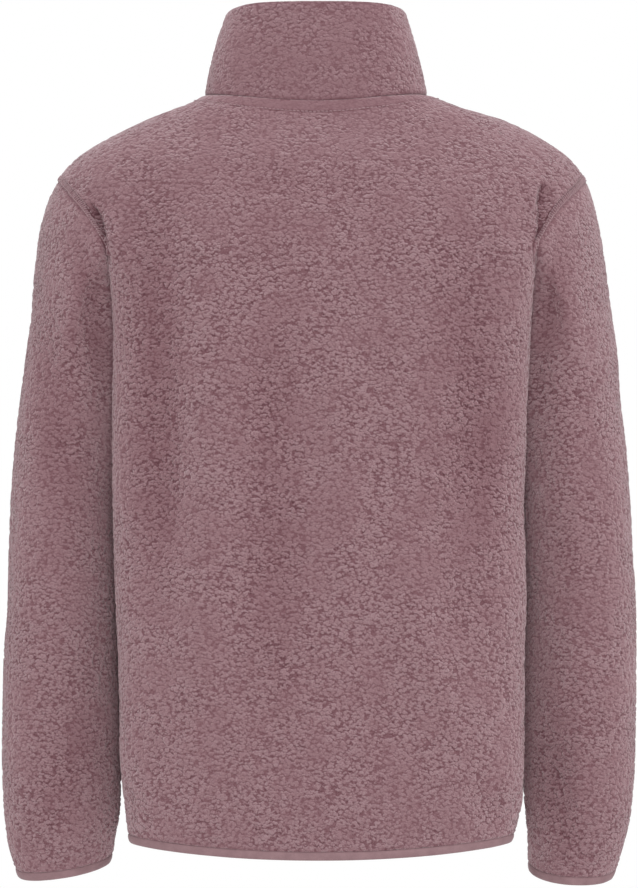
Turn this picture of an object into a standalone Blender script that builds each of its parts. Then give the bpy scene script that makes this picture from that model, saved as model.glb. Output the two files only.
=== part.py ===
"""Fleece jacket with a stand collar and a full-length zip, worn and empty.

Metres, +Z up. The front faces -Y and +X is the wearer's left. The origin is the middle of
the neck opening at the height of the shoulder points, where the wearer carries the jacket.
The garment is worked out as one skin of points from the tables below. Each cloth piece is a
wall cut from that skin: its outer points, and the same points one cloth thickness inside.
"""
import math

import bmesh
import bpy
import numpy as np
from mathutils import Matrix, Vector

# ---- driving sizes ------------------------------------------------------------------------
CLOTH = 0.003               # curly pile on its knitted ground
COLLAR_CLOTH = 0.0055       # the collar is cut double
SEAM_GAP = 0.0003           # between neighbouring pieces
NECK_LEVEL = 0.004          # back neck seam
NECKLINE_LEVEL = -0.060     # lowest point of the front neckline
TIP_LEVEL = -0.073          # shoulder tip, top of the armhole
UNDERARM_LEVEL = -0.330
HEM_LEVEL = -0.654          # cut edge of the body at the side seams
HEM_DROP_BACK = 0.0100      # how much lower the hem hangs at the centre back
HEM_DROP_FRONT = 0.0060
HEM_DROP_FROM = -0.45       # above this level the rows are level
RIDGE_Y = -0.005            # the shoulder seam runs along the top of the shoulder
FRONT_EDGE = 0.0048         # from the centre to each front edge, beside the zip
BINDING = 0.008             # height of the bound edges
BINDING_CLOTH = 0.0034
BINDING_SET_IN = 0.0005     # the binding lies a little inside the pile
COLLAR_HEIGHT = 0.079
COLLAR_CENTRE_X = 0.003     # the neck sits a little towards the wearer's left
COLLAR_NARROWS = 0.800      # width at the top over width at the neck seam
COLLAR_CENTRE_Y = -0.010
COLLAR_DEPTH_KEPT = 0.930   # depth at the top over depth at the neck seam
COLLAR_SWELL = 0.0015       # how far its sides bulge half way up
FRONT_STRAIGHT = 0.045      # how far from the zip the collar's front runs straight up
COLLAR_ROUND = 0.005        # how much lower its top edge is at the sides
FAN_LEVEL = -0.450          # from here down the sleeve's rings are level
SEAM_FELT = 0.45            # share of the fan over which the armhole's shape fades out
TAPE_THICK = 0.0008
TAPE_NEAR = 0.0008          # from the centre to the tape's edge, under the teeth
TAPE_BEHIND = 0.0080        # how far a tape reaches behind the front
TAPE_IN_COLLAR = 0.0004     # it stops this far short of the collar's edge
TAPE_TOP = 0.0165
TAPE_BOTTOM = -0.6560
SLIDER_LEVEL = 0.0105       # closed right up
SLIDER = {"width": 0.0084, "length": 0.0096, "plate": 0.0011, "slot": 0.0016, "post": 0.0010}
BAIL = {"width": 0.0018, "length": 0.0060, "bar": 0.0010, "window": 0.0017}
PULL = {"width": 0.0060, "length": 0.0210, "thick": 0.0009, "eye": 0.0027, "eye_end": 0.0042}
ZIP_BOX = {"width": 0.0084, "length": 0.0095, "thick": 0.0038}
BODY_ROUNDNESS = {"back": 2.35, "front": 2.25}   # exponents of the ovals
SLEEVE_ROUNDNESS = 2.3

# Rows and columns of points.
ROWS_BELOW_UNDERARM = 15
ROWS_BESIDE_ARMHOLE = 13
ROWS_OVER_SHOULDER = 5
COLUMNS = {"back": 12, "front": 10}
RINGS_IN_FAN = 11
RINGS_BELOW_FAN = 13
COLLAR_ROWS = (0.0, 0.3, 0.6, 0.85, 1.0)
DENSE = 161                 # points along a row before it is divided
CROWDING = 0.09             # the columns stand closer where the body rounds to its sides

# The body's two contours. At back_x, back_y the back turns the corner that shows as its
# outline, and rolls in to the side seam or to the armhole.
TRUNK = (
    "level    back_left  back_right  back_y  centre_back  front_x  front_y  centre_front  side_x  side_y",
    (-0.672, 0.1665, 0.1680, 0.034, 0.100, 0.1600, -0.044, -0.1160, 0.1600, -0.003),
    (-0.655, 0.1695, 0.1735, 0.035, 0.103, 0.1640, -0.045, -0.1185, 0.1645, -0.003),
    (-0.630, 0.1725, 0.1790, 0.036, 0.106, 0.1685, -0.046, -0.1205, 0.1690, -0.003),
    (-0.600, 0.1755, 0.1820, 0.038, 0.109, 0.1710, -0.048, -0.1225, 0.1725, -0.003),
    (-0.540, 0.1780, 0.1828, 0.040, 0.112, 0.1730, -0.049, -0.1240, 0.1745, -0.003),
    (-0.430, 0.1805, 0.1825, 0.044, 0.118, 0.1745, -0.050, -0.1260, 0.1740, -0.003),
    (-0.330, 0.1825, 0.1825, 0.050, 0.125, 0.1760, -0.054, -0.1285, 0.1680, -0.004),
    (-0.260, 0.1825, 0.1845, 0.056, 0.129, 0.1770, -0.058, -0.1280, 0.1680, -0.004),
    (-0.200, 0.1830, 0.1870, 0.063, 0.129, 0.1790, -0.064, -0.1240, 0.1680, -0.004),
    (-0.160, 0.1850, 0.1895, 0.074, 0.126, 0.1830, -0.072, -0.1170, 0.1680, -0.004),
    (-0.130, 0.1885, 0.1925, 0.084, 0.122, 0.1880, -0.079, -0.1090, 0.1680, -0.004),
    (-0.100, 0.1970, 0.1980, 0.088, 0.115, 0.1950, -0.080, -0.1000, 0.1680, -0.004),
)
# The shoulders: the ridge is the outline seen from behind.
SHOULDER = (
    "level    ridge_left  ridge_right  centre_back  centre_front",
    (-0.180, 0.2570, 0.2605, 0.1280, -0.1210),
    (-0.143, 0.2530, 0.2555, 0.1245, -0.1135),
    (-0.120, 0.2490, 0.2515, 0.1200, -0.1070),
    (-0.100, 0.2445, 0.2475, 0.1150, -0.1000),
    (-0.085, 0.2395, 0.2435, 0.1095, -0.0940),
    (-0.073, 0.2340, 0.2390, 0.1040, -0.0880),
    (-0.054, 0.2180, 0.2245, 0.0930, -0.0780),
    (-0.036, 0.1915, 0.2000, 0.0790, -0.0680),
    (-0.018, 0.1535, 0.1635, 0.0680, -0.0560),
    (-0.004, 0.1165, 0.1190, 0.0620, -0.0440),
    (0.004, 0.1025, 0.0970, 0.0600, -0.0340),
)
# The armhole seam, from the underarm up to the shoulder tip.
ARMHOLE = (
    "level    x       back_y  front_y",
    (-0.330, 0.1680, -0.004, -0.004),
    (-0.318, 0.1683, 0.012, -0.018),
    (-0.295, 0.1695, 0.025, -0.031),
    (-0.250, 0.1725, 0.037, -0.043),
    (-0.200, 0.1760, 0.047, -0.052),
    (-0.165, 0.1795, 0.060, -0.062),
    (-0.140, 0.1860, 0.076, -0.073),
    (-0.128, 0.1915, 0.083, -0.079),
    (-0.108, 0.2050, 0.072, -0.068),
    (-0.090, 0.2195, 0.050, -0.050),
    (-0.073, 0.2340, -0.005, -0.005),
)
# Where the front neckline is cut at each level, as a share of its half width at the top.
NECKLINE = (
    "level    share",
    (-0.060, 0.00),
    (-0.058, 0.20),
    (-0.052, 0.40),
    (-0.040, 0.61),
    (-0.020, 0.83),
    (-0.004, 0.955),
    (0.004, 1.00),
)
# The sleeves, bent a little forward. Pinch is the roundness of the side towards the body,
# which lies flatter where the back of the body hangs over it.
SLEEVE = (
    "level  outer_left outer_right inner_left inner_right middle_y half_depth pinch_left pinch_right",
    (-0.702, 0.2715, 0.2650, 0.1930, 0.1900, -0.046, 0.0380, 2.0, 2.0),
    (-0.686, 0.2760, 0.2705, 0.1880, 0.1890, -0.044, 0.0410, 2.0, 1.9),
    (-0.662, 0.2820, 0.2775, 0.1835, 0.1880, -0.041, 0.0450, 2.0, 1.8),
    (-0.644, 0.2840, 0.2815, 0.1800, 0.1870, -0.039, 0.0475, 1.9, 1.7),
    (-0.610, 0.2855, 0.2845, 0.1785, 0.1835, -0.035, 0.0510, 1.9, 1.6),
    (-0.540, 0.2850, 0.2850, 0.1785, 0.1805, -0.029, 0.0550, 1.8, 1.5),
    (-0.465, 0.2815, 0.2850, 0.1795, 0.1805, -0.024, 0.0585, 1.7, 1.5),
    (-0.390, 0.2785, 0.2820, 0.1790, 0.1790, -0.019, 0.0620, 1.6, 1.5),
    (-0.345, 0.2760, 0.2785, 0.1745, 0.1745, -0.016, 0.0645, 1.6, 1.5),
    (-0.330, 0.2750, 0.2770, 0.1680, 0.1680, -0.015, 0.0655, 1.6, 1.5),
    (-0.286, 0.2715, 0.2730, 0.1650, 0.1650, -0.012, 0.0670, 1.5, 1.5),
    (-0.215, 0.2630, 0.2660, 0.1650, 0.1650, -0.009, 0.0690, 1.6, 1.6),
    (-0.143, 0.2540, 0.2565, 0.1650, 0.1650, -0.007, 0.0715, 1.8, 1.8),
    (-0.107, 0.2475, 0.2500, 0.1650, 0.1650, -0.006, 0.0740, 1.9, 1.9),
    (-0.089, 0.2415, 0.2455, 0.1650, 0.1650, -0.005, 0.0775, 2.0, 2.0),
    (-0.073, 0.2340, 0.2390, 0.1650, 0.1650, -0.005, 0.0780, 2.0, 2.0),
)
# Lower edges of the two cuffs, bindings included: how low they hang at the outer and the
# inner side, and how steeply they drop towards the back.
CUFFS = {
    "left": {"outer": -0.698, "inner": -0.686, "slope": 0.15},
    "right": {"outer": -0.697, "inner": -0.694, "slope": 0.22},
}
# The largest folds, each a soft trough through three places seen from behind or in front.
# A negative depth is a ridge.
FOLDS = (
    "panel  x_top  z_top  x_middle  z_middle  x_bottom  z_bottom  width  depth",
    ("back", 0.206, -0.080, 0.197, -0.106, 0.190, -0.140, 0.014, 0.0045),
    ("back", -0.210, -0.080, -0.200, -0.106, -0.191, -0.140, 0.014, 0.0045),
    ("back", 0.150, -0.100, 0.144, -0.300, 0.140, -0.450, 0.024, 0.0055),
    ("back", 0.100, -0.140, 0.101, -0.400, 0.112, -0.640, 0.024, -0.0035),
    ("back", 0.045, -0.200, 0.040, -0.360, 0.044, -0.520, 0.028, 0.0030),
    ("back", -0.014, -0.180, -0.019, -0.330, -0.030, -0.480, 0.022, -0.0030),
    ("back", -0.122, -0.160, -0.138, -0.290, -0.134, -0.430, 0.026, 0.0055),
    ("back", -0.070, -0.420, -0.106, -0.540, -0.140, -0.635, 0.022, -0.0045),
    ("back", -0.100, -0.565, -0.134, -0.615, -0.168, -0.655, 0.018, 0.0035),
    ("front_left", 0.110, -0.130, 0.122, -0.300, 0.118, -0.450, 0.026, 0.0055),
    ("front_left", 0.060, -0.380, 0.096, -0.500, 0.136, -0.600, 0.024, -0.0045),
    ("front_right", -0.105, -0.120, -0.120, -0.280, -0.116, -0.420, 0.026, 0.0055),
    ("front_right", -0.055, -0.420, -0.080, -0.540, -0.118, -0.640, 0.024, -0.0045),
    ("sleeve_left", 0.206, -0.130, 0.200, -0.180, 0.193, -0.260, 0.014, 0.0060),
    ("sleeve_right", -0.211, -0.130, -0.204, -0.180, -0.198, -0.260, 0.014, 0.0060),
    ("sleeve_right", -0.200, -0.560, -0.213, -0.620, -0.224, -0.680, 0.018, 0.0060),
    ("sleeve_left", 0.262, -0.150, 0.236, -0.270, 0.206, -0.390, 0.024, 0.0040),
    ("sleeve_left", 0.200, -0.520, 0.224, -0.600, 0.252, -0.660, 0.022, 0.0035),
)

PANELS = (
    "back", "front_left", "front_right", "sleeve_left", "sleeve_right",
    "collar", "hem_binding", "cuff_binding_left", "cuff_binding_right",
)
SIDES = {"left": 1, "right": -1}
FACES = {"back": 1, "front": -1}


def columns(table):
    """A table whose first row names its columns, as a dictionary of arrays."""
    names, *rows = table
    return dict(zip(names.split(), np.array(rows, float).T))


TRUNK, SHOULDER, ARMHOLE, NECKLINE, SLEEVE = map(columns, (TRUNK, SHOULDER, ARMHOLE, NECKLINE, SLEEVE))


def read(table, name, level):
    """One column of a table at any level, on a smooth curve through its rows."""
    x, y = table["level"], table[name]
    slope = np.gradient(y, x)
    level = np.clip(level, x[0], x[-1])
    i = np.clip(np.searchsorted(x, level) - 1, 0, len(x) - 2)
    step = x[i + 1] - x[i]
    t = (level - x[i]) / step
    rise = slope[i] * step * t * (1 - t) ** 2
    fall = slope[i + 1] * step * t * t * (1 - t)
    return y[i] * (1 + 2 * t) * (1 - t) ** 2 + rise + y[i + 1] * t * t * (3 - 2 * t) - fall


def ramp(value, start, end):
    """0 at start, 1 at end, smooth between them."""
    t = np.clip((value - start) / (end - start), 0, 1)
    return t * t * (3 - 2 * t)


def along(line, shares):
    """Points of one line at the given shares of its length."""
    run = shares_of(line)
    return np.stack([np.interp(shares, run, column) for column in line.T], axis=1)


def shares_of(line):
    """How far along its line each point is, from 0 to 1."""
    run = np.concatenate([[0], np.cumsum(np.linalg.norm(np.diff(line, axis=0), axis=1))])
    return run / run[-1]


# ---- the body -----------------------------------------------------------------------------
def oval(reach_x, start_y, reach_y, roundness, turn):
    """Points of a quarter oval, from its middle (turn 0) to its end at reach_x."""
    return np.stack(
        [
            reach_x * np.sin(turn) ** (2 / roundness),
            start_y + reach_y * np.maximum(np.cos(turn), 0) ** (2 / roundness),
        ],
        axis=1,
    )


def seam_end(face, side, level):
    """Where a row of the body ends: on the side seam, the armhole or the shoulder seam."""
    ridge = read(SHOULDER, "ridge_" + side, level)
    if level >= TIP_LEVEL:
        return ridge, RIDGE_Y
    if level < UNDERARM_LEVEL:
        return read(TRUNK, "side_x", level), read(TRUNK, "side_y", level)
    # High up the armhole lies on the shoulder's oval; lower down it has its own depth.
    wider_top = ridge - read(SHOULDER, "ridge_left", level)
    wider_back = read(TRUNK, "back_" + side, level) - read(TRUNK, "back_left", level)
    x = read(ARMHOLE, "x", level) + wider_top * ramp(level, -0.128, TIP_LEVEL)
    x += wider_back * ramp(level, UNDERARM_LEVEL, -0.200)
    roundness = BODY_ROUNDNESS[face]
    inside = max(0, 1 - (x / ridge) ** roundness) ** (1 / roundness)
    on_oval = RIDGE_Y + (read(SHOULDER, "centre_" + face, level) - RIDGE_Y) * inside
    shoulder = ramp(level, -0.155, -0.118)
    return x, shoulder * on_oval + (1 - shoulder) * read(ARMHOLE, face + "_y", level)


def shoulder_row(face, side, level, end_x):
    """One oval across the shoulders, as far as its seam."""
    ridge = read(SHOULDER, "ridge_" + side, level)
    roundness = BODY_ROUNDNESS[face]
    last = math.asin(min(1, end_x / ridge) ** (roundness / 2))
    reach_y = read(SHOULDER, "centre_" + face, level) - RIDGE_Y
    return oval(ridge, RIDGE_Y, reach_y, roundness, np.linspace(0, last, DENSE))


def trunk_row(face, side, level, end_x, end_y):
    """An oval from the centre to the contour, then the roll in to the seam."""
    contour = "back_" + side if face == "back" else "front_x"
    corner = np.array([read(TRUNK, contour, level), read(TRUNK, face + "_y", level)])
    end = np.array([end_x, end_y])
    across = oval(
        corner[0], corner[1], read(TRUNK, "centre_" + face, level) - corner[1],
        BODY_ROUNDNESS[face], np.linspace(0, math.pi / 2, DENSE),
    )
    tuck = math.radians(55) * ramp(level, UNDERARM_LEVEL - 0.015, UNDERARM_LEVEL + 0.08)
    reach = np.linalg.norm(end - corner)
    leave = reach * np.array([0, -FACES[face]])
    arrive = reach * np.array([-math.sin(tuck), -FACES[face] * math.cos(tuck)])
    s = np.linspace(0, 1, DENSE // 4)[1:, None]
    roll = (
        (1 + 2 * s) * (1 - s) ** 2 * corner + s * (1 - s) ** 2 * leave
        + s * s * (3 - 2 * s) * end - s * s * (1 - s) * arrive
    )
    return np.concatenate([across, roll])


def body_row(face, side, level, count):
    """One row of the body's outer skin, in count steps from the centre line to the seam."""
    end_x, end_y = seam_end(face, side, level)
    shoulder = ramp(level, -0.155, -0.118)
    dense = np.linspace(0, 1, DENSE)
    row = np.zeros((DENSE, 2))
    if shoulder > 0:
        row += shoulder * along(shoulder_row(face, side, level, end_x), dense)
    if shoulder < 1:
        row += (1 - shoulder) * along(trunk_row(face, side, level, end_x, end_y), dense)
    if face == "front":
        cut = read(NECKLINE, "share", level) * read(SHOULDER, "ridge_" + side, NECK_LEVEL)
        start = min(max(FRONT_EDGE, cut if level > NECKLINE_LEVEL else 0), end_x)
        rising = np.maximum.accumulate(row[: row[:, 0].argmax() + 1, 0])
        first = np.array([[start, np.interp(start, rising, row[: len(rising), 1])]])
        kept = row[np.searchsorted(rising, start) + 1 :]
        row = np.concatenate([first, kept, row[-1:]])
    t = np.linspace(0, 1, count + 1)
    flat = along(row, t + CROWDING * np.sin(math.pi * t))
    drop = HEM_DROP_BACK if face == "back" else HEM_DROP_FRONT
    drop = drop * ramp(level, HEM_DROP_FROM, HEM_LEVEL) * (1 - (flat[:, 0] / flat[-1, 0]) ** 2)
    return np.stack([SIDES[side] * flat[:, 0], flat[:, 1], level - drop], axis=1)


def body_levels():
    """Levels of the rows: even down the side, even along the armhole seam, even on top."""
    seam_levels = np.linspace(UNDERARM_LEVEL, TIP_LEVEL, DENSE)
    seam = np.array([(*seam_end("back", "left", level), level) for level in seam_levels])
    beside = along(seam, np.linspace(0, 1, ROWS_BESIDE_ARMHOLE + 1))[:, 2]
    beside[0], beside[-1] = UNDERARM_LEVEL, TIP_LEVEL
    below = np.linspace(HEM_LEVEL, UNDERARM_LEVEL, ROWS_BELOW_UNDERARM + 1)
    above = np.linspace(NECKLINE_LEVEL, NECK_LEVEL, ROWS_OVER_SHOULDER + 1)
    return np.concatenate([below[:-1], beside, above])


# ---- the sleeves --------------------------------------------------------------------------
def sleeve_half(face, side, outer_level, inner_level, slope, shares):
    """Half a ring of the sleeve, from its inner line by way of the back or front."""
    middle = (outer_level + inner_level) / 2
    outer = read(SLEEVE, "outer_" + side, outer_level)
    inner = read(SLEEVE, "inner_" + side, inner_level)
    depth = read(SLEEVE, "half_depth", middle)
    pinch = read(SLEEVE, "pinch_" + side, middle)
    turn = np.linspace(0, math.pi / 2, DENSE)
    near = oval(1, 0, 1, pinch, turn)[::-1] * (-1, 1)
    far = oval(1, 0, 1, SLEEVE_ROUNDNESS, turn)[1:]
    unit = np.concatenate([near, far])
    x = (inner + outer) / 2 + unit[:, 0] * (outer - inner) / 2
    y = unit[:, 1] * depth
    z = middle + unit[:, 0] * (outer_level - inner_level) / 2 - FACES[face] * y * slope
    line = np.stack([x, read(SLEEVE, "middle_y", middle) + FACES[face] * y, z], axis=1)
    return along(line, shares) * (SIDES[side], 1, 1)


def sleeve_ring(side, outer_level, inner_level, slope, shares):
    """A closed ring: underarm, back, outer line, front, and round to the underarm."""
    back = sleeve_half("back", side, outer_level, inner_level, slope, shares["back"])
    front = sleeve_half("front", side, outer_level, inner_level, slope, shares["front"])
    return np.concatenate([back, front[-2:0:-1]])


def sleeve_rings(side, back_seam, front_seam):
    """All rings of one sleeve from the armhole down, and the last one of its binding."""
    shares = {"back": shares_of(back_seam), "front": shares_of(front_seam)}
    armhole = np.concatenate([back_seam, front_seam[-2:0:-1]])
    cuff = CUFFS[side]
    astray = armhole - sleeve_ring(side, TIP_LEVEL, UNDERARM_LEVEL, 0, shares)
    rings = []
    for t in np.linspace(0, 1, RINGS_IN_FAN + 1):
        outer = TIP_LEVEL + (FAN_LEVEL - TIP_LEVEL) * (0.7 * t + 0.3 * t * t)
        inner = UNDERARM_LEVEL + (FAN_LEVEL - UNDERARM_LEVEL) * t
        rings.append(sleeve_ring(side, outer, inner, 0, shares) + astray * (1 - ramp(t, 0, SEAM_FELT)))
    for t in np.linspace(0, 1, RINGS_BELOW_FAN + 1)[1:]:
        outer = FAN_LEVEL + (cuff["outer"] + BINDING - FAN_LEVEL) * t
        inner = FAN_LEVEL + (cuff["inner"] + BINDING - FAN_LEVEL) * t
        rings.append(sleeve_ring(side, outer, inner, cuff["slope"] * ramp(t, 0, 1), shares))
    rings.append(sleeve_ring(side, cuff["outer"], cuff["inner"], cuff["slope"], shares))
    return np.array(rings)


# ---- the collar ---------------------------------------------------------------------------
def collar_row(neck, share):
    """The neck edge carried up to a share of the collar's height."""
    centre = np.array([COLLAR_CENTRE_X, COLLAR_CENTRE_Y, 0])
    narrower = np.array([1 + (COLLAR_NARROWS - 1) * share, 1 + (COLLAR_DEPTH_KEPT - 1) * share, 1])
    row = centre + (neck - centre) * narrower
    # The two front edges run straight up beside the zip.
    row[:, 0] += (neck[:, 0] - row[:, 0]) * (1 - ramp(np.abs(neck[:, 0]), FRONT_EDGE, FRONT_STRAIGHT))
    outward = (row - centre) * (1, 1, 0)
    outward /= np.linalg.norm(outward, axis=1, keepdims=True)
    row[1:-1] += outward[1:-1] * COLLAR_SWELL * math.sin(math.pi * share)
    # From the shoulder seams forward the top edge keeps its distance from the neck seam.
    rounding = COLLAR_ROUND * np.abs(neck[:, 0] / neck[:, 0].max()) ** 6
    row[:, 2] += COLLAR_HEIGHT * share - rounding * share ** 3
    return row


# ---- one skin, cut into panels ------------------------------------------------------------
def add_net(skin, panel, rows, flip=False, closed=False):
    """Join rows of points, all of one length, with faces that belong to one panel."""
    tag = skin.faces.layers.int["panel"]
    net = [[skin.verts.new(point) for point in row] for row in rows]
    for lower, upper in zip(net, net[1:]):
        for i in range(len(lower) - (0 if closed else 1)):
            j = (i + 1) % len(lower)
            corners = (lower[i], lower[j], upper[j], upper[i])
            face = skin.faces.new(corners[::-1] if flip else corners)
            face[tag] = PANELS.index(panel)


def fold_depth(fold, x, z):
    """How deep one fold is at a place seen from behind or in front."""
    t = np.linspace(0, 1, 25)
    top, middle, bottom = np.array(fold[1:7]).reshape(3, 2)
    bend = 2 * middle - (top + bottom) / 2
    line = np.outer((1 - t) ** 2, top) + np.outer(2 * t * (1 - t), bend) + np.outer(t * t, bottom)
    away = np.hypot(line[:, 0] - x, line[:, 1] - z)
    nearest = int(away.argmin())
    fade = math.sin(math.pi * min(max(t[nearest], 0.06), 0.94)) ** 0.7
    width, depth = fold[7:9]
    return depth * fade * math.exp(-((away[nearest] / width) ** 2))


def whole_skin():
    """The garment's outer skin with every seam joined, folds included."""
    skin = bmesh.new()
    tag = skin.faces.layers.int.new("panel")
    levels = body_levels()
    binding_levels = (HEM_LEVEL - BINDING, HEM_LEVEL)
    rows, hems = {}, {}
    for side in SIDES:
        for face, count in COLUMNS.items():
            rows[face, side] = np.array([body_row(face, side, z, count) for z in levels])
            hem = np.array([body_row(face, side, z, count) for z in binding_levels])
            hem[0, :, 2] = hem[1, :, 2] - BINDING
            panel = "back" if face == "back" else "front_" + side
            flip = FACES[face] * SIDES[side] > 0
            add_net(skin, panel, rows[face, side], flip)
            add_net(skin, "hem_binding", hem, flip)
    first, last = ROWS_BELOW_UNDERARM, ROWS_BELOW_UNDERARM + ROWS_BESIDE_ARMHOLE
    for side in SIDES:
        back_seam, front_seam = (rows[face, side][first : last + 1, -1] for face in FACES)
        rings = sleeve_rings(side, back_seam, front_seam)
        flip = SIDES[side] < 0
        add_net(skin, "sleeve_" + side, rings[:-1], flip, closed=True)
        add_net(skin, "cuff_binding_" + side, rings[-2:], flip, closed=True)
    neckline = {side: rows["front", side][-ROWS_OVER_SHOULDER - 1 :, 0] for side in SIDES}
    back_neck = {side: rows["back", side][-1] for side in SIDES}
    neck = np.concatenate([
        neckline["right"], back_neck["right"][-2::-1], back_neck["left"][1:], neckline["left"][-2::-1],
    ])
    add_net(skin, "collar", [collar_row(neck, share) for share in COLLAR_ROWS], flip=True)
    bmesh.ops.remove_doubles(skin, verts=skin.verts, dist=1e-6)
    skin.verts.index_update()
    skin.normal_update()
    depths = {}
    for vert in skin.verts:
        # Seams stay where they are sewn, so a fold moves only points inside its own panel.
        panels = {PANELS[face[tag]] for face in vert.link_faces}
        own = [fold for fold in FOLDS[1:] if panels == {fold[0]}]
        depths[vert] = sum(fold_depth(fold, vert.co.x, vert.co.z) for fold in own)
    for vert, depth in depths.items():
        vert.co -= vert.normal * depth
    skin.normal_update()
    # The edges beside the zip are cut square, straight through the cloth.
    for vert in skin.verts:
        if abs(abs(vert.co.x) - FRONT_EDGE) < 1e-6 and vert.co.y < 0:
            vert.normal = Vector((0, vert.normal.y, vert.normal.z)).normalized()
    return skin


def into_panel(vert, panel_faces):
    """Half a seam gap from a vertex of a panel's border into the panel, square to the seam
    and to the skin's normal, so that two neighbours part in opposite directions."""
    inward = []
    for edge in vert.link_edges:
        own = [face for face in edge.link_faces if face in panel_faces]
        if len(own) == 1:
            across = vert.normal.cross(edge.other_vert(vert).co - vert.co).normalized()
            towards = own[0].calc_center_median() - vert.co
            inward.append(across if across.dot(towards) > 0 else -across)
    if len(inward) < 2:
        return Vector()
    mitre = max(0.4, 1 + inward[0].dot(inward[1]))
    return (inward[0] + inward[1]) * (SEAM_GAP / 2) / mitre


def cut_panel(skin, panel, cloth, set_in=0.0):
    """One panel of the skin as a closed wall: its outer points, and the same points inside."""
    tag = skin.faces.layers.int["panel"]
    faces = {face for face in skin.faces if face[tag] == PANELS.index(panel)}
    wall = bmesh.new()
    outer, inner = {}, {}
    for vert in {vert for face in faces for vert in face.verts}:
        place = vert.co + into_panel(vert, faces) - vert.normal * set_in
        outer[vert] = wall.verts.new(place)
        inner[vert] = wall.verts.new(place - vert.normal * cloth)
    for face in faces:
        wall.faces.new([outer[v] for v in face.verts])
        wall.faces.new([inner[v] for v in reversed(face.verts)])
        for loop in face.loops:
            if not any(other in faces and other != face for other in loop.edge.link_faces):
                # The end face is split on the same diagonal as its neighbour's across the seam.
                a, b = loop.vert, loop.link_loop_next.vert
                if a.index < b.index:
                    wall.faces.new([outer[b], outer[a], inner[b]])
                    wall.faces.new([outer[a], inner[a], inner[b]])
                else:
                    wall.faces.new([outer[b], outer[a], inner[a]])
                    wall.faces.new([outer[b], inner[a], inner[b]])
    return wall


# ---- the zip ------------------------------------------------------------------------------
def front_edge(skin, side):
    """The cut edge beside the zip from the hem up: its points, normals and the way across
    the cloth, as three arrays."""
    edge = [v for v in skin.verts if abs(v.co.x - SIDES[side] * FRONT_EDGE) < 1e-5 and v.co.y < 0]
    rows = []
    for vert in sorted(edge, key=lambda v: v.co.z):
        ways = [edge.other_vert(vert).co - vert.co for edge in vert.link_edges]
        across = max(ways, key=lambda way: abs(way.x)).normalized()
        normal = Vector((0, vert.normal.y, vert.normal.z)).normalized()
        rows.append((*vert.co, *normal, *(across / abs(across.x))))
    return np.array(rows)


def at_level(edge, level):
    """The edge's point, normal and way across at one level."""
    row = np.array([np.interp(level, edge[:, 2], column) for column in edge.T])
    return row[0:3], row[3:6], row[6:9]


def zip_tape(skin, side):
    """A woven tape behind the front edge. The collar's two layers hide all but its edge."""
    edge = front_edge(skin, side)
    inside = edge[(edge[:, 2] > TAPE_BOTTOM) & (edge[:, 2] < TAPE_TOP), 2]
    neck = np.array([NECKLINE_LEVEL - 0.002, NECKLINE_LEVEL - 0.001])
    levels = np.unique(np.concatenate([[TAPE_BOTTOM, TAPE_TOP], inside, neck]))
    wall = bmesh.new()
    rings = []
    for level in levels:
        place, normal, across = at_level(edge, level)
        reach = TAPE_BEHIND if level < neck[1] else -TAPE_IN_COLLAR
        near = place * (0, 1, 1) + np.array([SIDES[side] * TAPE_NEAR, 0, 0])
        far = place + across * reach
        front = normal * (CLOTH + SEAM_GAP)
        back = normal * (CLOTH + SEAM_GAP + TAPE_THICK)
        rings.append([wall.verts.new(p) for p in (near - front, far - front, far - back, near - back)])
    for lower, upper in zip(rings, rings[1:]):
        for i in range(4):
            j = (i + 1) % 4
            wall.faces.new((lower[i], lower[j], upper[j], upper[i]))
    wall.faces.new(rings[0])
    wall.faces.new(rings[-1][::-1])
    bmesh.ops.recalc_face_normals(wall, faces=wall.faces)
    return wall


def chain_place(skin, level):
    """Where the middle of the chain is at one level, in axes that look out of the front:
    X across, Y out, Z up the chain."""
    edge = front_edge(skin, "left")
    place = at_level(edge, level)[0] * (0, 1, 1)
    ahead = at_level(edge, level + 0.004)[0] * (0, 1, 1)
    up = Vector(ahead - place).normalized()
    out = Vector((0, -up.z, up.y))
    across = out.cross(up)
    origin = Vector(place) - out * (CLOTH + SEAM_GAP + TAPE_THICK / 2)
    return Matrix.Translation(origin) @ Matrix((across, out, up)).transposed().to_4x4()


def block(low, high, bevel=0.0):
    """A block between two corners, its edges bevelled."""
    mesh = bmesh.new()
    size = Vector(high) - Vector(low)
    place = Matrix.Translation((Vector(high) + Vector(low)) / 2) @ Matrix.Diagonal((*size, 1))
    bmesh.ops.create_cube(mesh, size=1.0, matrix=place)
    if bevel:
        bmesh.ops.bevel(mesh, geom=mesh.edges[:], offset=bevel, segments=2, profile=0.5, affect="EDGES")
    return mesh


def with_each(first, others, operation):
    """Solids joined to the first, or cut from it, one by one."""
    for other in others:
        things = []
        for mesh in (first, other):
            data = bpy.data.meshes.new("solid")
            mesh.to_mesh(data)
            mesh.free()
            things.append(bpy.data.objects.new("solid", data))
            bpy.context.scene.collection.objects.link(things[-1])
        boolean = things[0].modifiers.new("boolean", "BOOLEAN")
        boolean.object, boolean.operation = things[1], operation
        first = bmesh.new()
        first.from_object(things[0], bpy.context.evaluated_depsgraph_get())
        for thing in things:
            bpy.data.objects.remove(thing)
    return first


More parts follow.
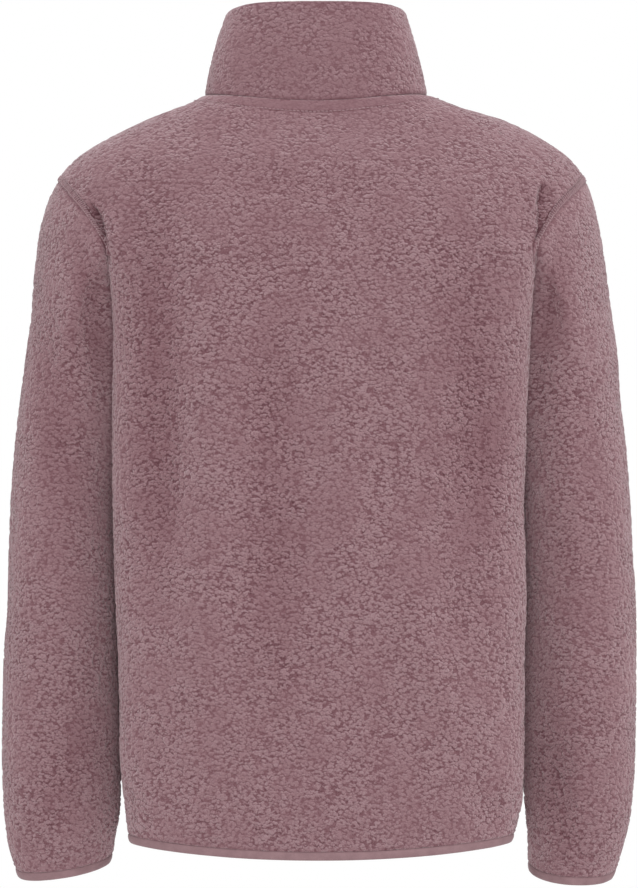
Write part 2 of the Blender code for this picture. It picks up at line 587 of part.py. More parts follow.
def slider():
    """Two plates and the post between them, with the bail that the pull tab hangs on."""
    half, end = SLIDER["width"] / 2, SLIDER["length"] / 2
    inside = SLIDER["slot"] / 2
    outside = inside + SLIDER["plate"]
    plates = [block((-half, y, -end), (half, y + SLIDER["plate"], end), 0.0003) for y in (inside, -outside)]
    thin, deep = SLIDER["post"] / 2, inside + 0.0003
    post = block((-thin, -deep, 0.0012), (thin, deep, 0.0044))
    bail_half, bail_end = BAIL["width"] / 2, BAIL["length"] / 2
    top = outside + BAIL["window"]
    bail = block((-bail_half, outside - 0.0004, -bail_end), (bail_half, top + BAIL["bar"], bail_end), 0.0003)
    inner = bail_end - BAIL["bar"]
    window = block((-bail_half - 0.001, outside, -inner), (bail_half + 0.001, top, inner))
    return with_each(plates[0], [plates[1], post, with_each(bail, [window], "DIFFERENCE")], "UNION")


def pull_tab():
    """A flat tab that hangs from its bar; the bail passes through its eye. Origin on the bar."""
    half, bar = PULL["width"] / 2, PULL["thick"] / 2
    tab = block((-half, -bar, -PULL["length"]), (half, bar, bar), 0.0002)
    eye = block((-PULL["eye"] / 2, -0.002, -PULL["eye_end"]), (PULL["eye"] / 2, 0.002, -bar))
    return with_each(tab, [eye], "DIFFERENCE")


# ---- objects ------------------------------------------------------------------------------
FLEECE = {"colour": (0.275, 0.162, 0.176), "roughness": 0.95}
JERSEY = {"colour": (0.240, 0.140, 0.152), "roughness": 0.85}
WOVEN = {"colour": (0.215, 0.125, 0.137), "roughness": 0.75}
METAL = {"colour": (0.330, 0.230, 0.240), "roughness": 0.38, "metallic": 0.9}


def finish(name, mesh, look, place=None):
    """A named object with a material of its own."""
    data = bpy.data.meshes.new(name)
    mesh.to_mesh(data)
    mesh.free()
    data.shade_smooth()
    data.set_sharp_from_angle(angle=math.radians(40))
    material = bpy.data.materials.new(name)
    material.use_nodes = True
    shader = material.node_tree.nodes["Principled BSDF"]
    shader.inputs["Base Color"].default_value = (*look["colour"], 1)
    shader.inputs["Roughness"].default_value = look["roughness"]
    shader.inputs["Metallic"].default_value = look.get("metallic", 0)
    data.materials.append(material)
    thing = bpy.data.objects.new(name, data)
    bpy.context.scene.collection.objects.link(thing)
    if place:
        thing.matrix_world = place


for existing in list(bpy.data.objects):
    bpy.data.objects.remove(existing)

skin = whole_skin()
for panel in PANELS:
    if "binding" in panel:
        finish(panel, cut_panel(skin, panel, BINDING_CLOTH, BINDING_SET_IN), JERSEY)
    elif panel == "collar":
        finish(panel, cut_panel(skin, panel, COLLAR_CLOTH), FLEECE)
    else:
        finish(panel, cut_panel(skin, panel, CLOTH), FLEECE)
for side in SIDES:
    finish("zip_tape_" + side, zip_tape(skin, side), WOVEN)

chain_top = chain_place(skin, SLIDER_LEVEL)
hinge = Matrix.Translation((0, SLIDER["slot"] / 2 + SLIDER["plate"] + BAIL["window"] / 2, 0))
finish("zip_slider", slider(), METAL, chain_top)
finish("zip_pull", pull_tab(), METAL, chain_top @ hinge)
box = ZIP_BOX["width"] / 2, ZIP_BOX["thick"] / 2
box_top = TAPE_BOTTOM - SEAM_GAP
box_place = chain_place(skin, box_top - ZIP_BOX["length"] / 2)
finish(
    "zip_box",
    block((-box[0], -box[1], -ZIP_BOX["length"] / 2), (box[0], box[1], ZIP_BOX["length"] / 2), 0.0006),
    METAL, box_place,
)
skin.free()
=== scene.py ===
"""Looks of a fleece jacket with a stand collar: curly pile, seams, bound edges and zip."""
import itertools
import math

import bmesh
import bpy
import numpy as np
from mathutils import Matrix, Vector, kdtree


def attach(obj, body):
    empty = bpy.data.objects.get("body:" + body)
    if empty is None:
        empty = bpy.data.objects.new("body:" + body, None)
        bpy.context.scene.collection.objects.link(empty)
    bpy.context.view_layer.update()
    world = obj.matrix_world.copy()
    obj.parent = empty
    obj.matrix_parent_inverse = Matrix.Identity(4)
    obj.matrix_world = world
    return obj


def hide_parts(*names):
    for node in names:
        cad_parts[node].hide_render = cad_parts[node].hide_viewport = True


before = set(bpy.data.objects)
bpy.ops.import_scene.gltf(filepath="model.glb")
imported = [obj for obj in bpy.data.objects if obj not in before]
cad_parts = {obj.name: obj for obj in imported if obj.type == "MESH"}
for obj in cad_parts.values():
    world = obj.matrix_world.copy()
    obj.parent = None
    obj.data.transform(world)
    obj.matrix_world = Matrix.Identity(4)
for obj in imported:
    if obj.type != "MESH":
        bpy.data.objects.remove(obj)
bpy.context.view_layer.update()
bpy.ops.object.select_all(action="DESELECT")

# ---- Back ---------------------------------------------------------------------------------
# The back is one panel of curly fleece, 3 mm through the pile, cut whole from the neck to the
# hem. It rolls round the sides to the side seams and the armholes, and is overlocked to its
# neighbours, so that the pile dips into every seam.
FINE_ROWS = 10              # rows of points between two of the solid's rows
BELOW_ROWS = 15             # the solid's rows from the hem to the underarm
ARMHOLE_ROWS = 13           # and from there to the shoulder tip
NECK_ROWS = 5               # and beside the neck
FINE_COLUMNS = {"back": 11, "front": 12}
COLUMNS = {"back": 12, "front": 10}
DENSE = 361                 # points of a curve before it is divided evenly
CROWDING = 0.09
TIP_HOLD = 6                # how sharply the columns give way to the armhole below the tip
CLOTH = 0.003
NECK_LEVEL = 0.004
NECKLINE_LEVEL = -0.060
TIP_LEVEL = -0.073
UNDERARM_LEVEL = -0.330
HEM_LEVEL = -0.654
HEM_DROP = {"back": 0.0100, "front": 0.0060}
HEM_DROP_FROM = -0.45
RIDGE_Y = -0.005
SHOULDER_BLEND = (-0.155, -0.118)   # levels where the trunk turns into the shoulders
ARM_TUCK = 55               # degrees by which the roll turns in under the arm
FRONT_EDGE = 0.0048
BINDING = 0.008
BODY_ROUNDNESS = {"back": 2.35, "front": 2.25}
SIDES = {"left": 1, "right": -1}
FACES = {"back": 1, "front": -1}
TRUNK = (
    "level    back_left  back_right  back_y  centre_back  front_x  front_y  centre_front  side_x  side_y",
    (-0.672, 0.1665, 0.1680, 0.034, 0.100, 0.1600, -0.044, -0.1160, 0.1600, -0.003),
    (-0.655, 0.1695, 0.1735, 0.035, 0.103, 0.1640, -0.045, -0.1185, 0.1645, -0.003),
    (-0.630, 0.1725, 0.1790, 0.036, 0.106, 0.1685, -0.046, -0.1205, 0.1690, -0.003),
    (-0.600, 0.1755, 0.1820, 0.038, 0.109, 0.1710, -0.048, -0.1225, 0.1725, -0.003),
    (-0.540, 0.1780, 0.1828, 0.040, 0.112, 0.1730, -0.049, -0.1240, 0.1745, -0.003),
    (-0.430, 0.1805, 0.1825, 0.044, 0.118, 0.1745, -0.050, -0.1260, 0.1740, -0.003),
    (-0.330, 0.1825, 0.1825, 0.050, 0.125, 0.1760, -0.054, -0.1285, 0.1680, -0.004),
    (-0.260, 0.1825, 0.1845, 0.056, 0.129, 0.1770, -0.058, -0.1280, 0.1680, -0.004),
    (-0.200, 0.1830, 0.1870, 0.063, 0.129, 0.1790, -0.064, -0.1240, 0.1680, -0.004),
    (-0.160, 0.1850, 0.1895, 0.074, 0.126, 0.1830, -0.072, -0.1170, 0.1680, -0.004),
    (-0.130, 0.1885, 0.1925, 0.084, 0.122, 0.1880, -0.079, -0.1090, 0.1680, -0.004),
    (-0.100, 0.1970, 0.1980, 0.088, 0.115, 0.1950, -0.080, -0.1000, 0.1680, -0.004),
)
SHOULDER = (
    "level    ridge_left  ridge_right  centre_back  centre_front",
    (-0.180, 0.2570, 0.2605, 0.1280, -0.1210),
    (-0.143, 0.2530, 0.2555, 0.1245, -0.1135),
    (-0.120, 0.2490, 0.2515, 0.1200, -0.1070),
    (-0.100, 0.2445, 0.2475, 0.1150, -0.1000),
    (-0.085, 0.2395, 0.2435, 0.1095, -0.0940),
    (-0.073, 0.2340, 0.2390, 0.1040, -0.0880),
    (-0.054, 0.2180, 0.2245, 0.0930, -0.0780),
    (-0.036, 0.1915, 0.2000, 0.0790, -0.0680),
    (-0.018, 0.1535, 0.1635, 0.0680, -0.0560),
    (-0.004, 0.1165, 0.1190, 0.0620, -0.0440),
    (0.004, 0.1025, 0.0970, 0.0600, -0.0340),
)
ARMHOLE = (
    "level    x       back_y  front_y",
    (-0.330, 0.1680, -0.004, -0.004),
    (-0.318, 0.1683, 0.012, -0.018),
    (-0.295, 0.1695, 0.025, -0.031),
    (-0.250, 0.1725, 0.037, -0.043),
    (-0.200, 0.1760, 0.047, -0.052),
    (-0.165, 0.1795, 0.060, -0.062),
    (-0.140, 0.1860, 0.076, -0.073),
    (-0.128, 0.1915, 0.083, -0.079),
    (-0.108, 0.2050, 0.072, -0.068),
    (-0.090, 0.2195, 0.050, -0.050),
    (-0.073, 0.2340, -0.005, -0.005),
)


def columns(table):
    """A table whose first row names its columns, as a dictionary of arrays."""
    names, *rows = table
    return dict(zip(names.split(), np.array(rows, float).T))


TRUNK, SHOULDER, ARMHOLE = map(columns, (TRUNK, SHOULDER, ARMHOLE))


def read(table, name, level):
    """One column of a table at any level, on a smooth curve through its rows."""
    x, y = table["level"], table[name]
    slope = np.gradient(y, x)
    level = np.clip(level, x[0], x[-1])
    i = np.clip(np.searchsorted(x, level) - 1, 0, len(x) - 2)
    step = x[i + 1] - x[i]
    t = (level - x[i]) / step
    rise = slope[i] * step * t * (1 - t) ** 2
    fall = slope[i + 1] * step * t * t * (1 - t)
    return y[i] * (1 + 2 * t) * (1 - t) ** 2 + rise + y[i + 1] * t * t * (3 - 2 * t) - fall


def ramp(value, start, end):
    """0 at start, 1 at end, smooth between them."""
    t = np.clip((value - start) / (end - start), 0, 1)
    return t * t * (3 - 2 * t)


def bell(away, width):
    """1 at no distance, and next to nothing from two widths on."""
    return np.exp(-((away / width) ** 2))


def unit(rows):
    """Rows of vectors, each brought to length 1."""
    return rows / np.maximum(np.linalg.norm(rows, axis=-1, keepdims=True), 1e-12)


def shares_of(line):
    """How far along its line each point is, from 0 to 1."""
    run = np.concatenate([[0], np.cumsum(np.linalg.norm(np.diff(line, axis=0), axis=1))])
    return run / run[-1]


def length_of(line):
    """The length of a line of points."""
    return np.linalg.norm(np.diff(line, axis=0), axis=1).sum()


def along(line, shares):
    """Points of one line at the given shares of its length."""
    run = shares_of(line)
    return np.stack([np.interp(shares, run, column) for column in line.T], axis=1)


def oval(reach_x, start_y, reach_y, roundness, turn):
    """Points of a quarter oval, from its middle (turn 0) to its end at reach_x."""
    across = reach_x * np.sin(turn) ** (2 / roundness)
    return np.stack([across, start_y + reach_y * np.maximum(np.cos(turn), 0) ** (2 / roundness)], axis=1)


def seam_end(face, side, level):
    """Where a row of the body ends: on the side seam, the armhole or the shoulder seam."""
    ridge = read(SHOULDER, "ridge_" + side, level)
    if level >= TIP_LEVEL:
        return ridge, RIDGE_Y
    if level < UNDERARM_LEVEL:
        return read(TRUNK, "side_x", level), read(TRUNK, "side_y", level)
    wider_top = ridge - read(SHOULDER, "ridge_left", level)
    wider_back = read(TRUNK, "back_" + side, level) - read(TRUNK, "back_left", level)
    x = read(ARMHOLE, "x", level) + wider_top * ramp(level, -0.128, TIP_LEVEL)
    x += wider_back * ramp(level, UNDERARM_LEVEL, -0.200)
    roundness = BODY_ROUNDNESS[face]
    inside = max(0, 1 - (x / ridge) ** roundness) ** (1 / roundness)
    on_oval = RIDGE_Y + (read(SHOULDER, "centre_" + face, level) - RIDGE_Y) * inside
    shoulder = ramp(level, *SHOULDER_BLEND)
    return x, shoulder * on_oval + (1 - shoulder) * read(ARMHOLE, face + "_y", level)


def shoulder_row(face, side, level, end_x):
    """One oval across the shoulders, as far as its seam."""
    ridge = read(SHOULDER, "ridge_" + side, level)
    roundness = BODY_ROUNDNESS[face]
    last = math.asin(min(1, end_x / ridge) ** (roundness / 2))
    reach_y = read(SHOULDER, "centre_" + face, level) - RIDGE_Y
    return oval(ridge, RIDGE_Y, reach_y, roundness, np.linspace(0, last, DENSE))


def trunk_row(face, side, level, end_x, end_y):
    """An oval from the centre to the contour, then the roll in to the seam."""
    contour = "back_" + side if face == "back" else "front_x"
    corner = np.array([read(TRUNK, contour, level), read(TRUNK, face + "_y", level)])
    end = np.array([end_x, end_y])
    across = oval(
        corner[0], corner[1], read(TRUNK, "centre_" + face, level) - corner[1],
        BODY_ROUNDNESS[face], np.linspace(0, math.pi / 2, DENSE),
    )
    tuck = math.radians(ARM_TUCK) * ramp(level, UNDERARM_LEVEL - 0.015, UNDERARM_LEVEL + 0.08)
    reach = np.linalg.norm(end - corner)
    leave = reach * np.array([0, -FACES[face]])
    arrive = reach * np.array([-math.sin(tuck), -FACES[face] * math.cos(tuck)])
    s = np.linspace(0, 1, DENSE // 4)[1:, None]
    roll = (
        (1 + 2 * s) * (1 - s) ** 2 * corner + s * (1 - s) ** 2 * leave
        + s * s * (3 - 2 * s) * end - s * s * (1 - s) * arrive
    )
    return np.concatenate([across, roll])


def held_columns(face, side, level, end_x, shoulder, shares):
    """Shares of a row near the shoulder tip, where only its last columns give way to the armhole."""
    ridge = read(SHOULDER, "ridge_" + side, level)
    whole, kept = (length_of(shoulder_row(face, side, level, x)) for x in (ridge, end_x))
    lost = max(1 - kept / whole, 1e-6)
    power = 1 + shoulder * (min(TIP_HOLD, max(1, 0.85 / lost)) - 1)
    return (shares - lost * shares ** power) / (1 - lost)


def body_row(face, side, level, count):
    """One row of the body's outer skin, in count steps from the centre line to the seam."""
    end_x, end_y = seam_end(face, side, level)
    shoulder = ramp(level, *SHOULDER_BLEND)
    dense = np.linspace(0, 1, DENSE)
    row = np.zeros((DENSE, 2))
    if shoulder > 0:
        row += shoulder * along(shoulder_row(face, side, level, end_x), dense)
    if shoulder < 1:
        row += (1 - shoulder) * along(trunk_row(face, side, level, end_x, end_y), dense)
    if face == "front":
        row = cut_neckline(row, side, level, end_x)
    t = np.linspace(0, 1, count + 1)
    t = held_columns(face, side, level, end_x, shoulder, t + CROWDING * np.sin(math.pi * t))
    flat = along(row, t) if row[0, 0] < end_x else row[[0] * (count + 1)]
    drop = HEM_DROP[face] * ramp(level, HEM_DROP_FROM, HEM_LEVEL) * (1 - (flat[:, 0] / flat[-1, 0]) ** 2)
    return np.stack([SIDES[side] * flat[:, 0], flat[:, 1], level - drop], axis=1)


def armhole_line(face, side):
    """The armhole from the underarm up to the shoulder tip, as if it were a left one."""
    levels = np.linspace(UNDERARM_LEVEL, TIP_LEVEL, DENSE)
    return np.array([(*seam_end(face, side, level), level) for level in levels])


def body_levels():
    """Levels of the rows, fine steps for each of the solid's own."""
    even = np.linspace(UNDERARM_LEVEL, TIP_LEVEL, ARMHOLE_ROWS * FINE_ROWS + 1)
    armhole = (along(armhole_line("back", "left"), np.linspace(0, 1, len(even)))[:, 2] + even) / 2
    below = np.linspace(HEM_LEVEL, UNDERARM_LEVEL, BELOW_ROWS * FINE_ROWS + 1)
    yoke = np.linspace(TIP_LEVEL, NECKLINE_LEVEL, FINE_ROWS + 1)
    turn = np.linspace(0, math.pi / 2, NECK_ROWS * FINE_ROWS + 1)
    neck = NECKLINE_LEVEL + (NECK_LEVEL - NECKLINE_LEVEL) * (1 - np.cos(turn))
    return np.concatenate([below[:-1], armhole, yoke[1:], neck[1:]])


def normals_of(grid, closed, outward):
    """The skin's normals on a grid of points, each row joined end to end if it is closed."""
    if closed:
        around = np.roll(grid, -1, axis=1) - np.roll(grid, 1, axis=1)
    else:
        around = np.gradient(grid, axis=1)
    normals = outward * np.cross(around, np.gradient(grid, axis=0))
    lost = np.linalg.norm(normals, axis=2) < 1e-10
    normals = unit(normals)
    for row in range(1, len(normals)):
        normals[row, lost[row]] = normals[row - 1, lost[row]]
    return normals


def finder(places):
    """A function that finds the nearest of many places: the place, its number and its distance."""
    tree = kdtree.KDTree(len(places))
    for i, place in enumerate(places):
        tree.insert(place, i)
    tree.balance()
    return tree.find


def distance_to(points, line):
    """How far each point is from the nearest point of a line."""
    find = finder(line)
    return np.array([find(point)[2] for point in points.reshape(-1, 3)]).reshape(points.shape[:-1])


def scatter(cells, salt):
    """Three numbers from 0 to 1 for each cell of a lattice, the same every time."""
    x, y, z = np.moveaxis(cells, -1, 0)
    mixed = x * 73856093 ^ y * 19349663 ^ z * 83492791 ^ salt * 2654435761
    numbers = []
    for _ in range(3):
        mixed = (mixed ^ (mixed >> 15)) * 2246822519 & 0xFFFFFFFF
        mixed = (mixed ^ (mixed >> 13)) * 3266489917 & 0xFFFFFFFF
        numbers.append(mixed / 0xFFFFFFFF)
    return np.stack(numbers, axis=-1)


def cloudy(points, size, salt):
    """Three smooth numbers from -1 to 1 that change over the given size."""
    cells = np.floor(points / size).astype(np.int64)
    inside = points / size - cells
    inside = inside * inside * (3 - 2 * inside)
    total = np.zeros(points.shape)
    for corner in itertools.product((0, 1), repeat=3):
        weight = np.prod(np.where(corner, inside, 1 - inside), axis=-1, keepdims=True)
        total += weight * scatter(cells + corner, salt)
    return 2 * total - 1


LUMP = 0.0058               # size of the cells that the lumps of pile grow from
LUMP_SQUASH = 1.4           # lumps are wider than tall, because the pile leans down
PATCH = 0.024               # size of the patches where the pile is brushed or curled
PILE_REACH = 0.0002         # how far the tips stand over the solid
PILE_DEPTH = 0.0016         # from the tips to the crevices


def knobbly(points, salt):
    """Near 0 where the pile is brushed smooth, 1 where it has curled into tight lumps."""
    brushed = 1 - 0.30 * ramp(points[..., 2], -0.15, -0.04)
    patches = cloudy(points, PATCH, salt + 2)[..., 0] + 0.5 * cloudy(points, PATCH / 2.4, salt + 3)[..., 0]
    return brushed * (0.62 + 0.38 * ramp(patches, -0.70, 0.50))


def curly(points, salt):
    """The pile's height from 0, in a crevice, to 1, on a lump."""
    spread = points * (1, 1, LUMP_SQUASH) + 0.0018 * cloudy(points, 0.007, salt)
    waves = np.abs(cloudy(spread, LUMP, salt + 1))
    return np.clip(np.minimum(waves[..., 0], waves[..., 1]) / 0.30, 0, 1) ** 0.7


FOLD_COLUMNS = "x_top  z_top  x_middle  z_middle  x_bottom  z_bottom  width  depth"


def fold_depth(fold, grid):
    """How deep one fold is at each point of a grid seen from behind or in front."""
    t = np.linspace(0, 1, 25)
    top, middle, bottom = np.array(fold[:6]).reshape(3, 2)
    bend = 2 * middle - (top + bottom) / 2
    line = np.outer((1 - t) ** 2, top) + np.outer(2 * t * (1 - t), bend) + np.outer(t * t, bottom)
    away = np.full(grid.shape[:-1], 9.0)
    nearest = np.zeros(grid.shape[:-1])
    for share, (x, z) in zip(t, line):
        step = np.hypot(grid[..., 0] - x, grid[..., 2] - z)
        nearest = np.where(step < away, share, nearest)
        away = np.minimum(away, step)
    fade = np.sin(math.pi * np.clip(nearest, 0.06, 0.94)) ** 0.7
    width, depth = fold[6:8]
    return depth * fade * bell(away, width)


def border_of(grid, closed):
    """The cut edge of a grid of points, as one list of places."""
    edges = [grid[0], grid[-1]]
    if not closed:
        edges += [grid[:, 0], grid[:, -1]]
    return np.concatenate(edges)


OVERHANG_STEP = 0.0045      # how wide the step under an overhang is
OVERHANG_REACH = 0.016      # how far out from it the cloth lies sunken


def overhang_depth(crease, grid):
    """How deep the cloth lies just outside a crease where the body hangs over it, and how dark the painted
    shadow there is.
    """
    points, depth = crease
    line = along(np.array(points), np.linspace(0, 1, 41))
    way = unit(np.gradient(line, axis=0))
    seen = grid[..., [0, 2]]
    away = np.linalg.norm(seen[..., None, :] - line, axis=-1)
    nearest = away.argmin(axis=-1)
    reach = seen - line[nearest]
    side = way[nearest, 1] * reach[..., 0] - way[nearest, 0] * reach[..., 1]
    outside = away.min(axis=-1) * np.sign(side) * np.sign(-line[0, 0])
    shape = ramp(outside, -0.001, OVERHANG_STEP - 0.001) * (1 - ramp(outside, 0.004, OVERHANG_REACH))
    swell = 0.35 * bell(outside + 0.006, 0.005)
    fade = ramp(nearest / 40, 0, 0.45)
    before = np.linalg.norm(seen - line[0], axis=-1)
    # painted shadow of the overhang, just outside the crease
    dark = bell(outside - 0.0015, np.where(outside > 0.0015, 0.0050, 0.0018))
    near = before < 0.12
    return depth * fade * (shape - swell) * near, 0.95 * dark * ramp(nearest / 40, 0.02, 0.22) * near


PAINTED_FOLD_SHADING = 0.36            # how much painted shade the pile gets in a fold's trough, and painted light on a ridge
INNER_CLEAR = 13            # how many fine points round it the inside keeps clear of
FLAT_EDGE = 0.020           # from a seam to where folds have their full depth
SEAM_SHADE = 0.0016         # reach of the painted shade along a seam
SEAM_DIP = 0.0014           # reach of the dip in the pile there


def deepest_near(sink, closed):
    """The deepest sink in the neighbourhood of each point, for an inside that stays behind it."""
    for axis in (0, 1):
        count = sink.shape[axis]
        moved = [np.arange(count) + shift for shift in range(-INNER_CLEAR, INNER_CLEAR + 1)]
        moved = [row % count if closed and axis else np.clip(row, 0, count - 1) for row in moved]
        sink = np.max([np.take(sink, row, axis=axis) for row in moved], axis=0)
    return sink


def fleece_skin(grid, closed, outward, folds, salt, wave=0.0012, overhangs=()):
    """Folds, waves and pile on a panel's smooth skin, as a dictionary of grids."""
    normals = normals_of(grid, closed, outward)
    from_edge = distance_to(grid, border_of(grid, closed))
    inside = ramp(from_edge, 0, FLAT_EDGE)
    sink = sum((fold_depth(fold, grid) for fold in folds[1:]), np.zeros(grid.shape[:-1]))
    sink = (sink - wave * cloudy(grid, 0.045, salt + 5)[..., 0]) * inside
    uneven = 0.65 + 0.55 * cloudy(grid, 0.012, salt + 7)[..., 0]
    # painted shade along the seams, uneven at random
    painted_shading = 0.55 * bell(from_edge, SEAM_SHADE) * uneven
    # painted shade in the folds' troughs and painted light on their ridges
    painted_shading += PAINTED_FOLD_SHADING * np.clip(sink / 0.007, -1, 1)
    under = deepest_near(np.maximum(sink, 0), closed) * inside
    for crease in overhangs:
        hollow, dark = overhang_depth(crease, grid)
        hollow = hollow * ramp(from_edge, 0, 0.005)
        sink += hollow
        under += deepest_near(np.maximum(hollow, 0), closed)
        # the painted shadow under each overhang
        painted_shading = np.maximum(painted_shading, dark)
    inner = grid - normals * (under + CLOTH)[..., None]
    base = grid - normals * sink[..., None]
    normals = normals_of(base, closed, outward)
    knobs = knobbly(base, salt)
    seam = bell(from_edge, SEAM_DIP)
    height = (1 - (0.30 + 0.70 * knobs) * (1 - curly(base, salt))) * (1 - 0.6 * seam)
    loose = 0.60 + 0.40 * ramp(from_edge, 0.0005, 0.004)
    return {
        "base": base, "inner": inner, "normals": normals, "closed": closed,
        "height": height, "loose": loose, "knobs": knobs, "painted_shading": painted_shading,
        "lift": PILE_REACH - PILE_DEPTH * (1 - height) * loose - 0.0005 * seam,
    }


GROOVE = 0.0009             # how wide and deep a row of stitches draws the cloth in


def press(skin, line, width, softness, shadow=0.0):
    """Flattens the pile between a seam and its row of stitches, draws the row in, and paints shade into its
    groove and, by shadow, over the band.
    """
    away = distance_to(skin["base"], line)
    band = 1 - ramp(away, width, width + 0.002)
    groove = bell(away - width, GROOVE)
    skin["lift"] += PILE_DEPTH * (1 - skin["height"]) * skin["loose"] * band * (1 - softness)
    skin["lift"] -= GROOVE * 0.6 * groove
    # painted shade in the row's groove, and painted shade over the band
    skin["painted_shading"] = np.maximum(skin["painted_shading"], 0.75 * groove + shadow * band)
    skin["loose"] = skin["loose"] * (1 - band * (1 - softness))
    skin["knobs"] = skin["knobs"] * (1 - 0.45 * band)
    skin["height"] = (skin["height"] + (0.7 - skin["height"]) * band * (1 - softness)) * (1 - 0.7 * groove)


def rim(outer, inner, step):
    """Faces of a cut edge, from the fine line of the outside to the coarse one inside."""
    faces = []
    for k in range(len(inner) - 1):
        near, far = inner[k], inner[k + 1]
        for i in range(step):
            faces.append((outer[k * step + i], outer[k * step + i + 1], near if i < step // 2 else far))
        faces.append((outer[k * step + step // 2], far, near))
    return faces


def face_outwards(data, merging=()):
    """Joins points that fall together, and turns every face of a mesh outwards."""
    shape = bmesh.new()
    shape.from_mesh(data)
    for near in merging:
        bmesh.ops.remove_doubles(shape, verts=shape.verts, dist=near)
    bmesh.ops.recalc_face_normals(shape, faces=shape.faces)
    shape.to_mesh(data)
    shape.free()


def linked(name, data):
    """A new object in the scene."""
    made = bpy.data.objects.new(name, data)
    bpy.context.scene.collection.objects.link(made)
    return made


def smooth_piece(name, data, sharp):
    """A piece that is smooth but for edges over an angle in degrees."""
    data.shade_smooth()
    data.set_sharp_from_angle(angle=math.radians(sharp))
    return linked(name, data)


MERGING = (1e-6, 3e-6)      # twice, so that the crowded corners close too


def quads(number):
    """The faces between neighbours on a grid of point numbers."""
    corners = [number[:-1, :-1], number[:-1, 1:], number[1:, 1:], number[1:, :-1]]
    return np.stack(corners, axis=-1).reshape(-1, 4)


def cloth_piece(name, skin, cloth, row_step, column_step, looks):
    """A closed wall: the fine outside of a skin, and a coarser inside behind its folds."""
    base, normals, closed = skin["base"], skin["normals"], skin["closed"]
    rows, count = base.shape[:2]
    outside = base + normals * skin["lift"][..., None]
    inner_columns = np.arange(0, count, column_step)
    inside = (skin["inner"] - normals * (cloth - CLOTH))[::row_step, inner_columns]
    fine = np.arange(rows * count).reshape(rows, count)
    coarse = rows * count + np.arange(inside.shape[0] * inside.shape[1]).reshape(inside.shape[:2])
    if closed:
        fine = np.concatenate([fine, fine[:, :1]], axis=1)
        coarse = np.concatenate([coarse, coarse[:, :1]], axis=1)
    over, under = quads(fine), quads(coarse)[:, [0, 3, 2, 1]]
    edges = rim(fine[0], coarse[0], column_step) + rim(fine[-1][::-1], coarse[-1][::-1], column_step)
    if not closed:
        edges += rim(fine[::-1, 0], coarse[::-1, 0], row_step) + rim(fine[:, -1], coarse[:, -1], row_step)
    faces = over.tolist() + under.tolist() + [face[::-1] for face in edges]
    data = bpy.data.meshes.new(name)
    data.from_pydata(np.concatenate([outside.reshape(-1, 3), inside.reshape(-1, 3)]).tolist(), [], faces)
    for look in looks:
        data.materials.append(look)
    tail = np.full(inside.shape[0] * inside.shape[1], 0.5)
    for attribute in ("height", "loose", "knobs", "painted_shading"):
        values = np.concatenate([skin[attribute].ravel(), tail])
        data.attributes.new(attribute, "FLOAT", "POINT").data.foreach_set("value", values.astype(np.float32))
    plain = np.zeros(len(faces), np.int32)
    plain[len(over) : len(over) + len(under)] = len(looks) - 1
    data.polygons.foreach_set("material_index", plain)
    face_outwards(data, MERGING)
    return smooth_piece(name, data, 75)


def feed(tree, made, inputs):
    """Sets or links the inputs of a shader node."""
    for key, value in inputs.items():
        if isinstance(value, bpy.types.NodeSocket):
            tree.links.new(value, made.inputs[key])
        else:
            made.inputs[key].default_value = value


def node(tree, kind, inputs=None, **settings):
    """A new shader node with its settings and its inputs."""
    made = tree.nodes.new("ShaderNode" + kind)
    for key, value in settings.items():
        setattr(made, key, value)
    feed(tree, made, inputs or {})
    return made


def material(name, roughness, sheen=0.0, metallic=0.0, fuzzy=0.0):
    """A Principled material, its tree and its shader."""
    made = bpy.data.materials.new(name)
    made.use_nodes = True
    tree = made.node_tree
    shader = tree.nodes["Principled BSDF"]
    feed(tree, shader, {
        "Roughness": roughness, "Metallic": metallic, "Diffuse Roughness": fuzzy,
        "Sheen Weight": sheen, "Sheen Roughness": 0.45, "Sheen Tint": (1.0, 0.86, 0.88, 1),
        "Specular IOR Level": 0.25,
    })
    return made, tree, shader


def on_object(tree):
    """Places on the object itself, so that a pattern keeps its real size."""
    return node(tree, "TexCoord").outputs["Object"]


def noise(tree, place, scale, detail):
    """A noise texture."""
    return node(tree, "TexNoise", {"Vector": place, "Scale": scale, "Detail": detail})


def coat(tree, shader, colour, rise, strength, distance):
    """Gives a shader its colour and its fine relief."""
    bump = node(tree, "Bump", {"Height": rise, "Strength": strength, "Distance": distance})
    feed(tree, shader, {"Base Color": colour, "Normal": bump.outputs["Normal"]})


def math_node(tree, operation, *values):
    """The result of a sum on values or sockets."""
    return node(tree, "Math", dict(enumerate(values)), operation=operation).outputs[0]


def between(tree, value, low, high, to_low=0.0, to_high=1.0):
    """A socket carried smoothly from one range to another."""
    return node(
        tree, "MapRange",
        {"Value": value, "From Min": low, "From Max": high, "To Min": to_low, "To Max": to_high},
        interpolation_type="SMOOTHSTEP",
    ).outputs[0]


def dyed(tree, tone, stops):
    """A colour for each tone, through stops of a position and a colour."""
    ramp_node = node(tree, "ValToRGB", {"Fac": tone})
    elements = ramp_node.color_ramp.elements
    while len(elements) < len(stops):
        elements.new(0.5)
    for element, (position, colour) in zip(elements, stops):
        element.position, element.color = position, (*colour, 1)
    return ramp_node.outputs["Color"]


FLEECE_TONES = (
    (0.00, (0.120, 0.042, 0.054)),      # down in a crevice and in painted shade, the darkest tone
    (0.40, (0.225, 0.108, 0.126)),
    (0.75, (0.310, 0.178, 0.198)),
    (1.00, (0.385, 0.252, 0.272)),      # the brushed tips, with painted light on them
)
CURL = 0.0034               # width of the curls
TOPLIGHT_SHIFT = 0.0009               # how far above each point the curls are sampled again, for painted light on their upper edges and painted shade on their lower ones
WARP = 0.0046               # how far the curls are pushed out of their even cells
LEVEL_TONE = 0.545          # tone of level pile, before each part below adds its share
